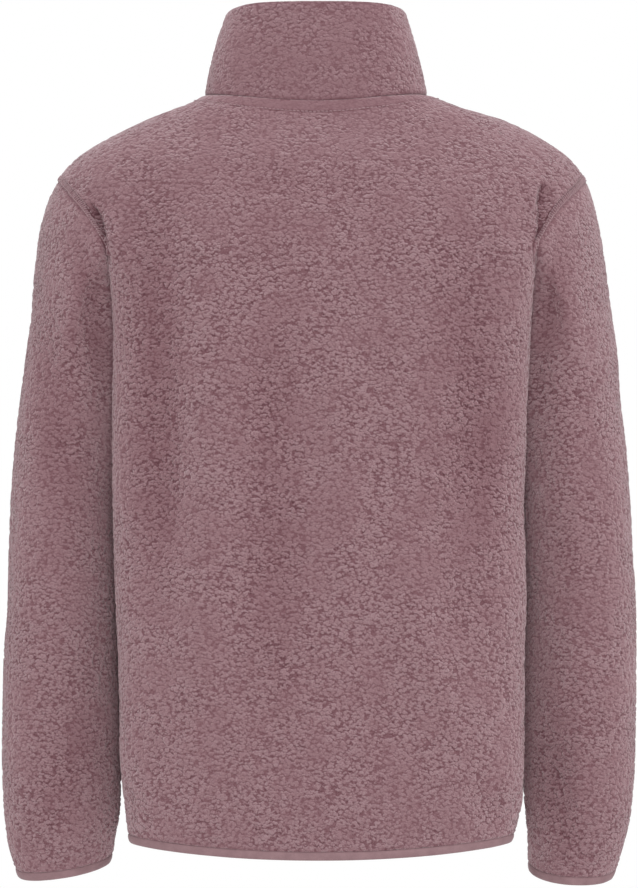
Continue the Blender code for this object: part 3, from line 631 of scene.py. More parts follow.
# the shares add the painted shade and light of seams, grooves, folds, overhangs and curls, and a little
# painted shade where the pile lies lower
TONE_SHARES = {"height": 0.04, "painted_shading": -0.60, "curl_painted_shading": 0.56, "shade": 0.46, "fuzz": 0.90}


def heap(tree, place, lift):
    """The height of rounded curls as they are a lift higher, from 0 in a crevice to 1 on top."""
    squash = {"Vector": place, "Scale": (1, 1, LUMP_SQUASH), "Location": (0, 0, lift)}
    where = node(tree, "Mapping", squash).outputs[0]
    cells = node(tree, "TexVoronoi", {"Vector": where, "Scale": 1 / CURL}, feature="F1")
    return between(tree, cells.outputs["Distance"], 0.80, 0.34)


def fleece_look():
    """Curly pile: light lumps with broken crevices under them; painted shade in the crevices and on the
    lumps' lower edges, painted light on their upper edges.
    """
    made, tree, shader = material("fleece_pile", 0.92, sheen=0.45, fuzzy=1.0)
    place = on_object(tree)
    part = {
        name: node(tree, "Attribute", attribute_name=name).outputs["Fac"]
        for name in ("height", "loose", "knobs", "painted_shading")
    }
    warp = noise(tree, place, 280.0, 1.0).outputs["Color"]
    half = (0.5, 0.5, 0.5)
    shift = node(tree, "VectorMath", {0: warp, 1: half}, operation="SUBTRACT").outputs[0]
    push = node(tree, "VectorMath", {0: shift, "Scale": WARP}, operation="SCALE").outputs[0]
    bent = node(tree, "VectorMath", {0: place, 1: push}, operation="ADD").outputs[0]
    lumps, above = (heap(tree, bent, lift) for lift in (0, TOPLIGHT_SHIFT))
    breaks = noise(tree, place, 120.0, 1.0).outputs["Fac"]
    strength = math_node(tree, "MULTIPLY", between(tree, breaks, 0.32, 0.56, 0.75, 1.0), part["loose"])
    strength = math_node(tree, "MULTIPLY", strength, part["knobs"])
    fibre = noise(tree, place, 900.0, 1.0).outputs["Fac"]
    # the first part paints shade into the crevices and light on the curls' tops; the second paints light on
    # their upper edges and shade on their lower edges, as if lit from above
    for name, value, level, by in (
        ("curl_painted_shading", lumps, 0.42, strength),
        ("shade", lumps, above, strength),
        ("fuzz", fibre, 0.5, part["knobs"]),
    ):
        part[name] = math_node(tree, "MULTIPLY", math_node(tree, "SUBTRACT", value, level), by)
    tone = LEVEL_TONE
    for name, share in TONE_SHARES.items():
        tone = math_node(tree, "MULTIPLY_ADD", part[name], share, tone)
    rise = math_node(tree, "MULTIPLY_ADD", fibre, 0.22, math_node(tree, "MULTIPLY", lumps, strength))
    coat(tree, shader, dyed(tree, tone, FLEECE_TONES), rise, 0.80, 0.0015)
    return made


def knit_look():
    """The knitted ground inside: fine wales, without pile."""
    made, tree, shader = material("fleece_knit_side", 0.85, sheen=0.15)
    place = on_object(tree)
    wale = node(tree, "TexVoronoi", {"Vector": place, "Scale": 700.0})
    patch = noise(tree, place, 40.0, 3.0)
    tone = math_node(tree, "MULTIPLY_ADD", wale.outputs["Distance"], 0.4, patch.outputs["Fac"])
    colour = dyed(tree, tone, ((0.3, (0.175, 0.100, 0.110)), (1.0, (0.265, 0.160, 0.174))))
    coat(tree, shader, colour, wale.outputs["Distance"], 0.5, 0.0003)
    return made


fleece_looks = [fleece_look(), knit_look()]
levels = body_levels()
BACK_FOLDS = (
    FOLD_COLUMNS,
    (0.206, -0.080, 0.197, -0.106, 0.190, -0.140, 0.014, 0.0045),
    (-0.210, -0.080, -0.200, -0.106, -0.191, -0.140, 0.014, 0.0045),
    (0.152, -0.080, 0.138, -0.280, 0.140, -0.450, 0.026, 0.0080),
    (0.098, -0.120, 0.098, -0.400, 0.110, -0.640, 0.024, -0.0055),
    (0.045, -0.180, 0.040, -0.360, 0.044, -0.540, 0.028, 0.0045),
    (-0.014, -0.160, -0.019, -0.330, -0.030, -0.500, 0.022, -0.0045),
    (-0.122, -0.140, -0.138, -0.290, -0.132, -0.450, 0.028, 0.0080),
    (-0.070, -0.400, -0.106, -0.540, -0.142, -0.640, 0.022, -0.0065),
    (-0.096, -0.545, -0.130, -0.600, -0.168, -0.655, 0.020, 0.0060),
    (0.070, -0.060, 0.000, -0.085, -0.075, -0.062, 0.022, 0.0030),
)
BACK_OVERHANGS = (
    # the crease's points (x, z) from its start down to the armhole, and its depth
    (
        ((0.2040, -0.0900), (0.1985, -0.0960), (0.1925, -0.1060), (0.1885, -0.1180), (0.1860, -0.1330)),
        0.0085,
    ),
    (
        ((-0.2005, -0.0700), (-0.1950, -0.0800), (-0.1930, -0.0900), (-0.1935, -0.1010), (-0.1915, -0.1170)),
        0.0055,
    ),
)
NECK_DROOP = 0.0082         # how far the collar's seam hangs down at the middle of the back
DROOP_SLOPE = 1.12          # length of cloth to a length of drop there
DROOP_ROWS = 4 * FINE_ROWS


def drooped(grid):
    """The back with its top edge cut lower at the middle, along the same surface."""
    ends = grid[-1, 0, 0], grid[-1, -1, 0]
    for column in range(grid.shape[1]):
        line = grid[-DROOP_ROWS:, column].copy()
        to_end = line[-1, 0] / ends[int(line[-1, 0] > 0)]
        share = 1 - NECK_DROOP * max(0, 1 - to_end ** 2) * DROOP_SLOPE / length_of(line)
        grid[-DROOP_ROWS:, column] = along(line, shares_of(line) * share)
    return grid


half_count = COLUMNS["back"] * FINE_COLUMNS["back"]
back_halves = {
    side: np.array([body_row("back", side, level, half_count) for level in levels]) for side in SIDES
}
back_grid = drooped(np.concatenate([back_halves["right"][:, :0:-1], back_halves["left"]], axis=1))
back_skin = fleece_skin(back_grid, False, -1, BACK_FOLDS, salt=11, overhangs=BACK_OVERHANGS)
COLLAR_STITCH = 0.0108      # from the collar seam to the row of stitches below it
COVER_BAND = 0.0062         # width of the coverstitched band beside an armhole
rows_to_underarm = BELOW_ROWS * FINE_ROWS
rows_to_tip = rows_to_underarm + ARMHOLE_ROWS * FINE_ROWS
press(back_skin, back_grid[-1], COLLAR_STITCH, 0.75)
# the bands beside the armholes get painted shade as well
for column in (0, -1):
    press(back_skin, back_grid[rows_to_underarm : rows_to_tip + 1, column], COVER_BAND, 0.75, 0.30)
back = cloth_piece("back_fleece", back_skin, CLOTH, FINE_ROWS, FINE_COLUMNS["back"], fleece_looks)
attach(back, "jacket")
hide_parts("back")

# ---- Fronts -------------------------------------------------------------------------------
# Two mirrored fronts of the same fleece, cut straight beside the zip and hollowed out for the
# neckline. They are sewn to the back along the shoulders and the sides.
NECKLINE = columns((
    "level    share",
    (-0.060, 0.00),
    (-0.058, 0.20),
    (-0.052, 0.40),
    (-0.040, 0.61),
    (-0.020, 0.83),
    (-0.004, 0.955),
    (0.004, 1.00),
))
FRONT_FOLDS = {
    "left": (
        FOLD_COLUMNS,
        (0.110, -0.130, 0.122, -0.300, 0.118, -0.450, 0.026, 0.0055),
        (0.060, -0.380, 0.096, -0.500, 0.136, -0.600, 0.024, -0.0045),
    ),
    "right": (
        FOLD_COLUMNS,
        (-0.105, -0.120, -0.120, -0.280, -0.116, -0.420, 0.026, 0.0055),
        (-0.055, -0.420, -0.080, -0.540, -0.118, -0.640, 0.024, -0.0045),
    ),
}


ZIP_STITCH = 0.0060         # from the front edge to the row of stitches that holds the tape


def cut_neckline(row, side, level, end_x):
    """The part of a front row that lies outside the neckline and beside the zip."""
    cut = read(NECKLINE, "share", level) * read(SHOULDER, "ridge_" + side, NECK_LEVEL)
    start = min(max(FRONT_EDGE, cut if level > NECKLINE_LEVEL else 0), end_x)
    rising = np.maximum.accumulate(row[: row[:, 0].argmax() + 1, 0])
    first = np.array([[start, np.interp(start, rising, row[: len(rising), 1])]])
    kept = row[np.searchsorted(rising, start) + 1 :]
    return np.concatenate([first, kept, row[-1:]])


front_grids, front_skins = {}, {}
for side in SIDES:
    count = COLUMNS["front"] * FINE_COLUMNS["front"]
    grid = np.array([body_row("front", side, level, count) for level in levels])
    skin = fleece_skin(grid, False, SIDES[side], FRONT_FOLDS[side], salt=21)
    press(skin, grid[rows_to_tip + FINE_ROWS :, 0], COLLAR_STITCH, 0.75)
    # the band beside the armhole gets painted shade as well
    press(skin, grid[rows_to_underarm : rows_to_tip + 1, -1], COVER_BAND, 0.75, 0.30)
    press(skin, grid[: rows_to_tip + FINE_ROWS, 0], ZIP_STITCH, 0.60)
    front = cloth_piece("front_fleece_" + side, skin, CLOTH, FINE_ROWS, FINE_COLUMNS["front"], fleece_looks)
    front_grids[side], front_skins[side] = grid, skin
    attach(front, "jacket")
    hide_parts("front_" + side)

# ---- Sleeves ------------------------------------------------------------------------------
# Each sleeve is one piece of fleece joined along the underarm and set into its armhole. It
# hangs bent a little forward and narrows to the cuff.
FAN_LEVEL = -0.450
SEAM_FELT = 0.45
SLEEVE_ROUNDNESS = 2.3
FAN_RINGS = 11              # the solid's rings from the armhole to the elbow
LOWER_RINGS = 13            # and from there to the binding
FINE_RINGS = 13             # rings of points between two of them
FINE_AROUND = 9
SLEEVE = columns((
    "level  outer_left outer_right inner_left inner_right middle_y half_depth pinch_left pinch_right",
    (-0.702, 0.2715, 0.2650, 0.1930, 0.1900, -0.046, 0.0380, 2.0, 2.0),
    (-0.686, 0.2760, 0.2705, 0.1880, 0.1890, -0.044, 0.0410, 2.0, 1.9),
    (-0.662, 0.2820, 0.2775, 0.1835, 0.1880, -0.041, 0.0450, 2.0, 1.8),
    (-0.644, 0.2840, 0.2815, 0.1800, 0.1870, -0.039, 0.0475, 1.9, 1.7),
    (-0.610, 0.2855, 0.2845, 0.1785, 0.1835, -0.035, 0.0510, 1.9, 1.6),
    (-0.540, 0.2850, 0.2850, 0.1785, 0.1805, -0.029, 0.0550, 1.8, 1.5),
    (-0.465, 0.2815, 0.2850, 0.1795, 0.1805, -0.024, 0.0585, 1.7, 1.5),
    (-0.390, 0.2785, 0.2820, 0.1790, 0.1790, -0.019, 0.0620, 1.6, 1.5),
    (-0.345, 0.2760, 0.2785, 0.1745, 0.1745, -0.016, 0.0645, 1.6, 1.5),
    (-0.330, 0.2750, 0.2770, 0.1680, 0.1680, -0.015, 0.0655, 1.6, 1.5),
    (-0.286, 0.2715, 0.2730, 0.1650, 0.1650, -0.012, 0.0670, 1.5, 1.5),
    (-0.215, 0.2630, 0.2660, 0.1650, 0.1650, -0.009, 0.0690, 1.6, 1.6),
    (-0.143, 0.2540, 0.2565, 0.1650, 0.1650, -0.007, 0.0715, 1.8, 1.8),
    (-0.107, 0.2475, 0.2500, 0.1650, 0.1650, -0.006, 0.0740, 1.9, 1.9),
    (-0.089, 0.2415, 0.2455, 0.1650, 0.1650, -0.005, 0.0775, 2.0, 2.0),
    (-0.073, 0.2340, 0.2390, 0.1650, 0.1650, -0.005, 0.0780, 2.0, 2.0),
))
CUFFS = {
    "left": {"outer": -0.698, "inner": -0.686, "slope": 0.15},
    "right": {"outer": -0.697, "inner": -0.694, "slope": 0.22},
}
SLEEVE_FOLDS = {
    "left": (
        FOLD_COLUMNS,
        (0.206, -0.130, 0.200, -0.180, 0.193, -0.260, 0.014, 0.0060),
        (0.262, -0.150, 0.236, -0.270, 0.206, -0.390, 0.024, 0.0040),
        (0.200, -0.520, 0.224, -0.600, 0.252, -0.660, 0.022, 0.0035),
    ),
    "right": (
        FOLD_COLUMNS,
        (-0.211, -0.130, -0.204, -0.180, -0.198, -0.260, 0.014, 0.0060),
        (-0.200, -0.560, -0.213, -0.620, -0.224, -0.680, 0.018, 0.0060),
    ),
}


def sleeve_half(face, side, outer_level, inner_level, slope, shares):
    """Half a ring of the sleeve, from its inner line by way of the back or front."""
    middle = (outer_level + inner_level) / 2
    outer = read(SLEEVE, "outer_" + side, outer_level)
    inner = read(SLEEVE, "inner_" + side, inner_level)
    depth = read(SLEEVE, "half_depth", middle)
    pinch = read(SLEEVE, "pinch_" + side, middle)
    turn = np.linspace(0, math.pi / 2, DENSE)
    near = oval(1, 0, 1, pinch, turn)[::-1] * (-1, 1)
    far = oval(1, 0, 1, SLEEVE_ROUNDNESS, turn)[1:]
    round_it = np.concatenate([near, far])
    x = (inner + outer) / 2 + round_it[:, 0] * (outer - inner) / 2
    y = round_it[:, 1] * depth
    z = middle + round_it[:, 0] * (outer_level - inner_level) / 2 - FACES[face] * y * slope
    line = np.stack([x, read(SLEEVE, "middle_y", middle) + FACES[face] * y, z], axis=1)
    return along(line, shares) * (SIDES[side], 1, 1)


def sleeve_ring(side, outer_level, inner_level, slope, shares):
    """A closed ring: underarm, back, outer line, front, and round to the underarm."""
    back_half, front_half = (
        sleeve_half(face, side, outer_level, inner_level, slope, shares[face]) for face in FACES
    )
    return np.concatenate([back_half, front_half[-2:0:-1]])


def armhole_seam(face, side):
    """The armhole's seam in the sleeve's steps, on its own side."""
    shares = np.linspace(0, 1, ARMHOLE_ROWS * FINE_AROUND + 1)
    return along(armhole_line(face, side), shares) * (SIDES[side], 1, 1)


def sleeve_rings(side):
    """All rings of one sleeve from the armhole down, and the last one of its binding."""
    seams = {face: armhole_seam(face, side) for face in FACES}
    shares = {face: shares_of(seam) for face, seam in seams.items()}
    armhole = np.concatenate([seams["back"], seams["front"][-2:0:-1]])
    cuff = CUFFS[side]
    astray = armhole - sleeve_ring(side, TIP_LEVEL, UNDERARM_LEVEL, 0, shares)
    rings = []
    for t in np.linspace(0, 1, FAN_RINGS * FINE_RINGS + 1):
        outer = TIP_LEVEL + (FAN_LEVEL - TIP_LEVEL) * (0.7 * t + 0.3 * t * t)
        inner = UNDERARM_LEVEL + (FAN_LEVEL - UNDERARM_LEVEL) * t
        rings.append(sleeve_ring(side, outer, inner, 0, shares) + astray * (1 - ramp(t, 0, SEAM_FELT)))
    for t in np.linspace(0, 1, LOWER_RINGS * FINE_RINGS + 1)[1:]:
        outer = FAN_LEVEL + (cuff["outer"] + BINDING - FAN_LEVEL) * t
        inner = FAN_LEVEL + (cuff["inner"] + BINDING - FAN_LEVEL) * t
        rings.append(sleeve_ring(side, outer, inner, cuff["slope"] * ramp(t, 0, 1), shares))
    rings.append(sleeve_ring(side, cuff["outer"], cuff["inner"], cuff["slope"], shares))
    return np.array(rings)


sleeve_grids = {side: sleeve_rings(side) for side in SIDES}
for side, grid in sleeve_grids.items():
    skin = fleece_skin(grid[:-1], True, SIDES[side], SLEEVE_FOLDS[side], salt=31)
    sleeve = cloth_piece("sleeve_fleece_" + side, skin, CLOTH, FINE_RINGS, FINE_AROUND, fleece_looks)
    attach(sleeve, "jacket")
    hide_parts("sleeve_" + side)

# ---- Coverstitching of the armholes -------------------------------------------------------
# After each sleeve is set in, its seam is pressed towards the body and coverstitched: thread
# in the fleece's colour crosses the band like the rungs of a ladder, between two needle rows.
THREAD = 0.0008
RUNG = {"away": 0.0041, "length": 0.0038, "pitch": 0.0023, "slant": 0.25}
NEEDLE_ROWS = (0.0017, 0.0066)
NEEDLE_STITCH = 0.0026
NEEDLE_PITCH = NEEDLE_STITCH * 1.25
SEARCHED = 0.008            # how far past a row of stitches the pile's points are looked through


def slanting(tree, place, scale, distortion):
    """Fine slanting waves, for twisted thread and woven ribs."""
    waves = {"Vector": place, "Scale": scale, "Distortion": distortion}
    return node(tree, "TexWave", waves, bands_direction="DIAGONAL").outputs["Fac"]


def thread_look():
    """Twisted polyester thread: a fine spiral along it and a soft gloss."""
    made, tree, shader = material("sewing_thread", 0.55, sheen=0.1)
    place = on_object(tree)
    twist = slanting(tree, place, 900.0, 2.0)
    colour = dyed(tree, twist, ((0.0, (0.310, 0.190, 0.208)), (1.0, (0.460, 0.325, 0.345))))
    coat(tree, shader, colour, twist, 0.4, 0.0001)
    return made


def cut_across(places):
    """Settles the small model in hand and cuts it across X, so that its points can be moved there."""
    bpy.ops.object.transform_apply(location=True, rotation=True, scale=True)
    bpy.ops.object.mode_set(mode="EDIT")
    for place in places:
        bpy.ops.mesh.select_all(action="SELECT")
        bpy.ops.mesh.bisect(plane_co=(place, 0, 0), plane_no=(1, 0, 0))
    bpy.ops.object.mode_set(mode="OBJECT")


def taken(model):
    """The points and the faces of a small model, which goes once its copies can be made."""
    points = np.array([vert.co for vert in model.data.vertices])
    faces = [tuple(face.vertices) for face in model.data.polygons]
    bpy.data.objects.remove(model)
    return points, faces


def one_stitch(length):
    """A stitch of thread along X: a thin rod, waisted twice, its ends turned down into the cloth."""
    lying = (0, math.pi / 2, 0)
    bpy.ops.mesh.primitive_cylinder_add(vertices=6, radius=THREAD / 2, depth=length, rotation=lying)
    rod = bpy.context.object
    cut_across((-0.3 * length, 0.3 * length))
    for vert in rod.data.vertices:
        if abs(vert.co.x) > 0.45 * length:
            vert.co.z -= THREAD * 0.9
    return taken(rod)


def set_copies(name, model, places, along_way, up, look):
    """One piece of copies of a small model, each set at its place with its X and Z turned."""
    shape, model_faces = model
    across = np.cross(up, along_way)
    axes = np.stack([along_way, across, up], axis=1)
    points = places[:, None] + np.einsum("vi,kij->kvj", shape, axes)
    faces = [tuple(k * len(shape) + i for i in face) for k in range(len(places)) for face in model_faces]
    data = bpy.data.meshes.new(name)
    data.from_pydata(points.reshape(-1, 3).tolist(), [], faces)
    data.materials.append(look)
    piece = smooth_piece(name, data, 50)
    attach(piece, "jacket")


def beside(skin, line, away, pitch):
    """Places, ways and normals on a panel's pile, a step apart, along one distance from a line."""
    base = skin["base"].reshape(-1, 3)
    near = distance_to(skin["base"], line).ravel() < away + SEARCHED
    base, normals, lift = base[near], skin["normals"].reshape(-1, 3)[near], skin["lift"].ravel()[near]
    find = finder(base)
    points = along(line, np.linspace(0, 1, int(length_of(line) / pitch)))
    way = unit(np.gradient(points, axis=0))
    found = np.array([find(point)[1] for point in points])
    into = unit(np.cross(normals[found], way))
    trial = [np.mean([find(p)[2] for p in points + turn * into * away]) for turn in (1, -1)]
    points = points + into * away * (1 if trial[0] < trial[1] else -1)
    found = np.array([find(point)[1] for point in points])
    up = normals[found]
    height = np.sum((base[found] - points) * up, axis=1) + lift[found]
    points = points + up * height[:, None]
    way = unit(way - up * np.sum(way * up, axis=1, keepdims=True))
    return points, way, up


def sew(name, skin, line, away, length, pitch, slant=None):
    """A row of stitches beside a line; a slant lays them across the row, as rungs."""
    points, way, up = beside(skin, line, away, pitch)
    if slant is not None:
        way = unit(np.cross(up, way) + slant * way)
    set_copies(name, one_stitch(length), points + up * THREAD * 0.55, way, up, thread)


thread = thread_look()
for side in SIDES:
    for face, skin in (("back", back_skin), ("front", front_skins[side])):
        seam = armhole_seam(face, side)
        sew(f"armhole_rungs_{face}_{side}", skin, seam, **RUNG)
        for number, away in enumerate(NEEDLE_ROWS):
            sew(f"armhole_row_{face}_{side}_{number}", skin, seam, away, NEEDLE_STITCH, NEEDLE_PITCH)

# ---- Collar -------------------------------------------------------------------------------
# The stand collar is cut double, turned at its top edge and sewn into the neckline. It closes
# with the zip in front.
COLLAR_CLOTH = 0.0055
COLLAR_HEIGHT = 0.079
COLLAR_CENTRE = np.array([0.003, -0.010, 0])
COLLAR_NARROWS = 0.800
COLLAR_DEPTH_KEPT = 0.930
COLLAR_SWELL = 0.0015
COLLAR_ROUND = 0.005
FRONT_STRAIGHT = 0.045
COLLAR_ROWS = 60
COLLAR_STEPS = (15, 14)     # rows and columns of points to one step of the coarser inside


def collar_row(neck, share):
    """The neck edge carried up to a share of the collar's height."""
    narrower = np.array([1 + (COLLAR_NARROWS - 1) * share, 1 + (COLLAR_DEPTH_KEPT - 1) * share, 1])
    row = COLLAR_CENTRE + (neck - COLLAR_CENTRE) * narrower
    row[:, 0] += (neck[:, 0] - row[:, 0]) * (1 - ramp(np.abs(neck[:, 0]), FRONT_EDGE, FRONT_STRAIGHT))
    outward = unit((row - COLLAR_CENTRE) * (1, 1, 0))
    row[1:-1] += outward[1:-1] * COLLAR_SWELL * math.sin(math.pi * share)
    rounding = COLLAR_ROUND * np.abs(neck[:, 0] / neck[:, 0].max()) ** 6
    drooped_by = np.where(neck[:, 1] > RIDGE_Y, NECK_LEVEL - neck[:, 2], 0)
    row[:, 2] += (COLLAR_HEIGHT + drooped_by) * share - rounding * share ** 3
    return row


necklines = {side: front_grids[side][-NECK_ROWS * FINE_ROWS - 1 :, 0] for side in SIDES}
neck_edge = np.concatenate([necklines["right"], back_grid[-1, 1:-1], necklines["left"][::-1]])
neck_edge = along(neck_edge, np.linspace(0, 1, len(neck_edge)))
collar_grid = np.array([collar_row(neck_edge, share) for share in np.linspace(0, 1, COLLAR_ROWS + 1)])
collar_skin = fleece_skin(collar_grid, False, -1, (), salt=41, wave=0.0008)
collar = cloth_piece("collar_fleece", collar_skin, COLLAR_CLOTH, *COLLAR_STEPS, fleece_looks[:1])
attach(collar, "jacket")
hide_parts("collar")

# ---- Rows of stitches at the neck and the zip ---------------------------------------------
# A single row holds the collar's seam down, 11 mm below it, and another holds each zip tape
# behind its front edge. Both are long straight stitches in the same thread.
STITCH = 0.0028
STITCH_PITCH = 0.0034
BARE_ENDS = {"back": 6, "front": 12}    # points without stitches where the seams meet
neck_line = back_grid[-1, BARE_ENDS["back"] : -BARE_ENDS["back"]]
sew("neck_row_back", back_skin, neck_line, COLLAR_STITCH, STITCH, STITCH_PITCH)
for side in SIDES:
    neck_line = front_grids[side][rows_to_tip + FINE_ROWS + BARE_ENDS["front"] :, 0]
    sew("neck_row_front_" + side, front_skins[side], neck_line, COLLAR_STITCH, STITCH, STITCH_PITCH)
    zip_line = front_grids[side][: rows_to_tip + 2, 0]
    sew("zip_row_" + side, front_skins[side], zip_line, ZIP_STITCH, STITCH, STITCH_PITCH)

# ---- Bound edges --------------------------------------------------------------------------
# Hem and cuffs are bound with a strip of plain jersey that is folded round the raw edge and
# stitched down, 8 mm high and a little puckered.
BINDING_PROFILE = columns((
    "share  out",
    (0.02, -0.0012),
    (0.10, -0.0004),
    (0.30, 0.0001),
    (0.60, 0.0001),
    (0.85, -0.0003),
    (0.97, -0.0010),
    (1.00, -0.0018),
    (0.97, -0.0027),
    (0.85, -0.0033),
    (0.50, -0.0036),
    (0.10, -0.0034),
    (0.02, -0.0026),
))


def jersey_look():
    """Plain jersey in the fleece's colour: fine ribs along the strip, smooth and matt."""
    made, tree, shader = material("binding_jersey", 0.80, sheen=0.2)
    place = on_object(tree)
    stitch = node(tree, "TexVoronoi", {"Vector": place, "Scale": 900.0})
    patch = noise(tree, place, 120.0, 3.0)
    tone = math_node(tree, "MULTIPLY_ADD", stitch.outputs["Distance"], 0.25, patch.outputs["Fac"])
    colour = dyed(tree, tone, ((0.3, (0.225, 0.133, 0.145)), (0.95, (0.300, 0.184, 0.198))))
    coat(tree, shader, colour, tone, 0.5, 0.0004)
    return made


def bound_edge(name, upper, lower, closed, outward, look):
    """A strip folded round the edge between two lines of points."""
    normals = normals_of(np.stack([upper, lower]), closed, -outward)[0]
    share, out = BINDING_PROFILE["share"], BINDING_PROFILE["out"]
    pucker = 0.0003 * cloudy(upper, 0.006, 51)[:, 0] + 0.0004 * cloudy(upper, 0.02, 52)[:, 0]
    rings = (
        upper[:, None] + (lower - upper)[:, None] * share[:, None]
        + normals[:, None] * (out + pucker[:, None] * np.where(share < 0.9, 1, 0.4))[..., None]
    )
    number = np.arange(rings.shape[0] * len(share)).reshape(rings.shape[:2])
    loop = np.concatenate([number, number[:, :1]], axis=1)
    if closed:
        loop = np.concatenate([loop, loop[:1]], axis=0)
    faces = quads(loop).tolist()
    if not closed:
        faces += [number[0].tolist(), number[-1][::-1].tolist()]
    data = bpy.data.meshes.new(name)
    data.from_pydata(rings.reshape(-1, 3).tolist(), [], faces)
    data.materials.append(look)
    face_outwards(data)
    return smooth_piece(name, data, 60)


jersey = jersey_look()
hem_lines = []
for level in (HEM_LEVEL, HEM_LEVEL - BINDING):
    halves = {
        (face, side): body_row(face, side, level, 6 * COLUMNS[face]) for face in FACES for side in SIDES
    }
    hem_lines.append(np.concatenate([
        halves["front", "right"], halves["back", "right"][-2::-1],
        halves["back", "left"][1:], halves["front", "left"][-2::-1],
    ]))
hem_lines[1][:, 2] = hem_lines[0][:, 2] - BINDING
edges = {"hem_binding": (hem_lines[0], hem_lines[1], False, -1)}
for side in SIDES:
    edges["cuff_binding_" + side] = (sleeve_grids[side][-2], sleeve_grids[side][-1], True, -SIDES[side])
for name, (upper, lower, closed, outward) in edges.items():
    strip = bound_edge(name + "_jersey", upper, lower, closed, outward, jersey)
    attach(strip, "jacket")
    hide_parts(name)

# ---- Zip ----------------------------------------------------------------------------------
# An open-end zip with moulded teeth in the fleece's colour. Its woven tapes are sewn behind
# the fronts, and the slider, its pull tab and the box at the bottom are satin metal.
TOOTH_PITCH = 0.0030        # from one tooth to the next on one tape
TOOTH = {"width": 0.0034, "height": 0.0013, "depth": 0.0021}
TOOTH_ROOT = 0.62           # how far out a tooth's root is, as a share of its width
TEETH_TOP = 0.0052
TEETH_BOTTOM = -0.6545
TAPE_NEAR = 0.0008          # from the middle to the near edge of each tape
TAPE_BLUR = 0.0130          # evens the tape's corners out into one smooth line


def woven_look():
    """Herringbone tape: fine diagonal ribs that turn every few threads."""
    made, tree, shader = material("zip_tape_weave", 0.75, sheen=0.1)
    place = on_object(tree)
    ribs = slanting(tree, place, 420.0, 0.6)
    threads = node(tree, "TexVoronoi", {"Vector": place, "Scale": 1500.0})
    tone = math_node(tree, "MULTIPLY_ADD", threads.outputs["Distance"], 0.4, ribs)
    colour = dyed(tree, tone, ((0.1, (0.150, 0.082, 0.092)), (1.0, (0.245, 0.146, 0.160))))
    coat(tree, shader, colour, tone, 0.5, 0.0002)
    return made


def metal_look(name, roughness, metallic, light):
    """Painted or plated zip parts: satin, with fine scuffs that break the gloss."""
    made, tree, shader = material(name, roughness, metallic=metallic)
    place = on_object(tree)
    scuffs = noise(tree, place, 600.0, 4.0).outputs["Fac"]
    worn = between(tree, scuffs, 0.35, 0.75, roughness - 0.06, roughness + 0.16)
    dark = tuple(channel * 0.82 for channel in light)
    colour = dyed(tree, scuffs, ((0.3, dark), (0.7, light)))
    feed(tree, shader, {"Base Color": colour, "Roughness": worn, "Specular IOR Level": 0.5})
    return made


def one_tooth():
    """A moulded tooth that reaches from its tape (X 0) past the middle of the chain (X 1 width)."""
    bpy.ops.mesh.primitive_cube_add(size=1, location=(TOOTH["width"] / 2, 0, 0))
    tooth = bpy.context.object
    tooth.scale = (TOOTH["width"], TOOTH["height"], TOOTH["depth"])
    cut_across((TOOTH["width"] * 0.55,))
    for vert in tooth.data.vertices:
        if vert.co.x < TOOTH["width"] * 0.3:
            vert.co.y *= 0.75
        elif vert.co.x < TOOTH["width"] * 0.8:
            vert.co.y *= 0.62
    bevel = tooth.modifiers.new("bevel", "BEVEL")
    bevel.width, bevel.segments, bevel.limit_method = 0.00018, 1, "ANGLE"
    bpy.ops.object.modifier_apply(modifier="bevel")
    return taken(tooth)


tooth_look = metal_look("zip_teeth_resin", 0.42, 0.0, (0.290, 0.178, 0.195))
metal = metal_look("zip_satin_metal", 0.36, 0.85, (0.400, 0.285, 0.300))
weave = woven_look()
tooth_model = one_tooth()
for side in SIDES:
    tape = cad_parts["zip_tape_" + side]
    corners = np.array([vert.co for vert in tape.data.vertices])
    corners = corners[np.abs(corners[:, 0]) < TAPE_NEAR * 1.3]
    tape_levels = np.linspace(TEETH_BOTTOM, TEETH_TOP, 200)
    weights = bell(tape_levels[:, None] - corners[:, 2], TAPE_BLUR) + 1e-12
    depths = weights @ corners[:, 1] / weights.sum(axis=1)
    chain = np.stack([np.zeros(len(tape_levels)), depths, tape_levels], axis=1)
    count = int(length_of(chain) / TOOTH_PITCH)
    shift = 0.5 if side == "right" else 0.0
    places = along(chain, (np.arange(count) + shift) / count)
    places[:, 0] = SIDES[side] * TOOTH["width"] * TOOTH_ROOT
    up_chain = unit(np.gradient(places, axis=0) * (0, 1, 1))
    inward = np.tile((-float(SIDES[side]), 0.0, 0.0), (len(places), 1))
    facing = np.cross(inward, up_chain)
    set_copies("zip_teeth_" + side, tooth_model, places, inward, facing, tooth_look)
    tape.data.materials.clear()
    tape.data.materials.append(weave)
for name in ("zip_slider", "zip_pull", "zip_box"):
    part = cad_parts[name]
    part.data.materials.clear()
    part.data.materials.append(metal)

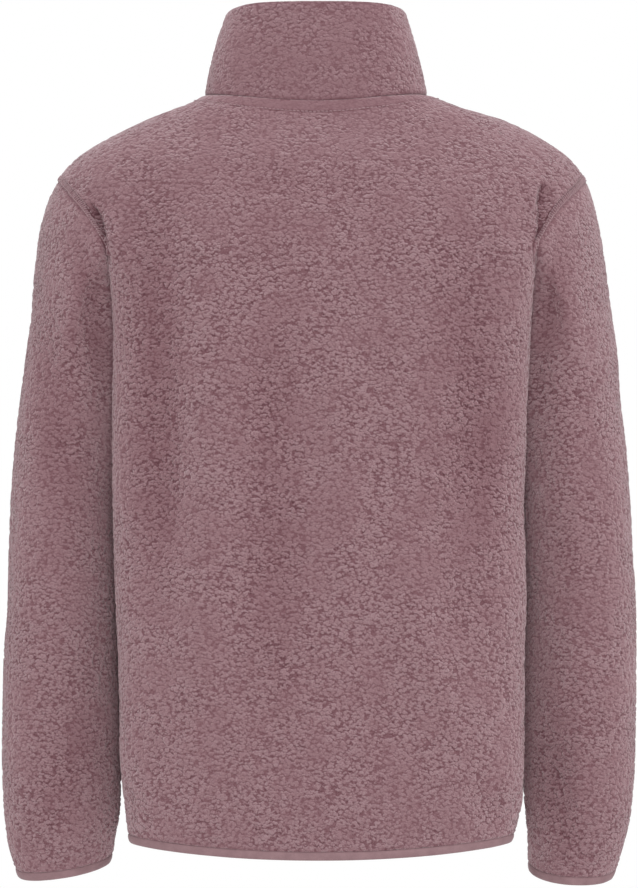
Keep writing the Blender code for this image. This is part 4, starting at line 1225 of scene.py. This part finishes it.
# ---- Studio -------------------------------------------------------------------------------
# A pale floor well below the hem, soft light that comes mostly from beside the camera, and
# the camera straight behind the jacket at the height of its middle.
bpy.ops.mesh.primitive_circle_add(vertices=96, radius=2.2, fill_type="NGON", location=(0, 0, -0.99))
floor = bpy.context.object
floor.name = "floor"
floor_look, floor_tree, floor_shader = material("floor_paper", 0.9)
feed(floor_tree, floor_shader, {"Base Color": (0.86, 0.85, 0.84, 1)})
floor.data.materials.append(floor_look)

LIGHTS = (
    # name, place, aimed at, size, power
    ("key", (-1.4, 3.3, 1.9), (0, 0, -0.3), 3.2, 12),
    ("camera_side", (0.0, 4.4, 0.1), (0, 0, -0.3), 1.8, 64),
    ("side", (-3.0, 1.2, 0.1), (0, 0, -0.4), 2.6, 11),
    ("fill", (2.9, 1.5, 0.2), (0, 0, -0.3), 2.6, 2),
    ("top", (-0.4, 0.8, 2.6), (0, 0, -0.2), 2.0, 18),
    ("front", (0.8, -3.0, 1.2), (0, 0, -0.3), 2.0, 45),
)
for name, place, aim, size, power in LIGHTS:
    lamp = bpy.data.lights.new(name, "AREA")
    lamp.shape, lamp.size, lamp.energy = "DISK", size, power
    light = linked(name, lamp)
    light.location = place
    light.rotation_euler = (Vector(aim) - Vector(place)).to_track_quat("-Z", "Y").to_euler()

world = bpy.data.worlds.new("studio")
world.use_nodes = True
bpy.context.scene.world = world
sky = world.node_tree
seen = node(sky, "Background", {"Color": (1, 1, 1, 1), "Strength": 1.0})
lit = sky.nodes["Background"]
feed(sky, lit, {"Color": (1, 1, 1, 1), "Strength": 0.66})
ray = node(sky, "LightPath")
mixed = {0: ray.outputs["Is Camera Ray"], 1: lit.outputs[0], 2: seen.outputs[0]}
either = node(sky, "MixShader", mixed)
feed(sky, sky.nodes["World Output"], {"Surface": either.outputs[0]})

CAMERA_AWAY = 4.0
PHOTO_HEIGHT = 888
METRES_PER_PIXEL = 0.000895
camera_data = bpy.data.cameras.new("camera")
camera_data.sensor_width = 36.0
camera_data.lens = camera_data.sensor_width * CAMERA_AWAY / (PHOTO_HEIGHT * METRES_PER_PIXEL)
camera = linked("camera", camera_data)
camera.location = (0, CAMERA_AWAY, -0.308)
camera.rotation_euler = (math.pi / 2, 0, math.pi)
bpy.context.scene.camera = camera
bpy.context.scene.view_settings.view_transform = "Standard"
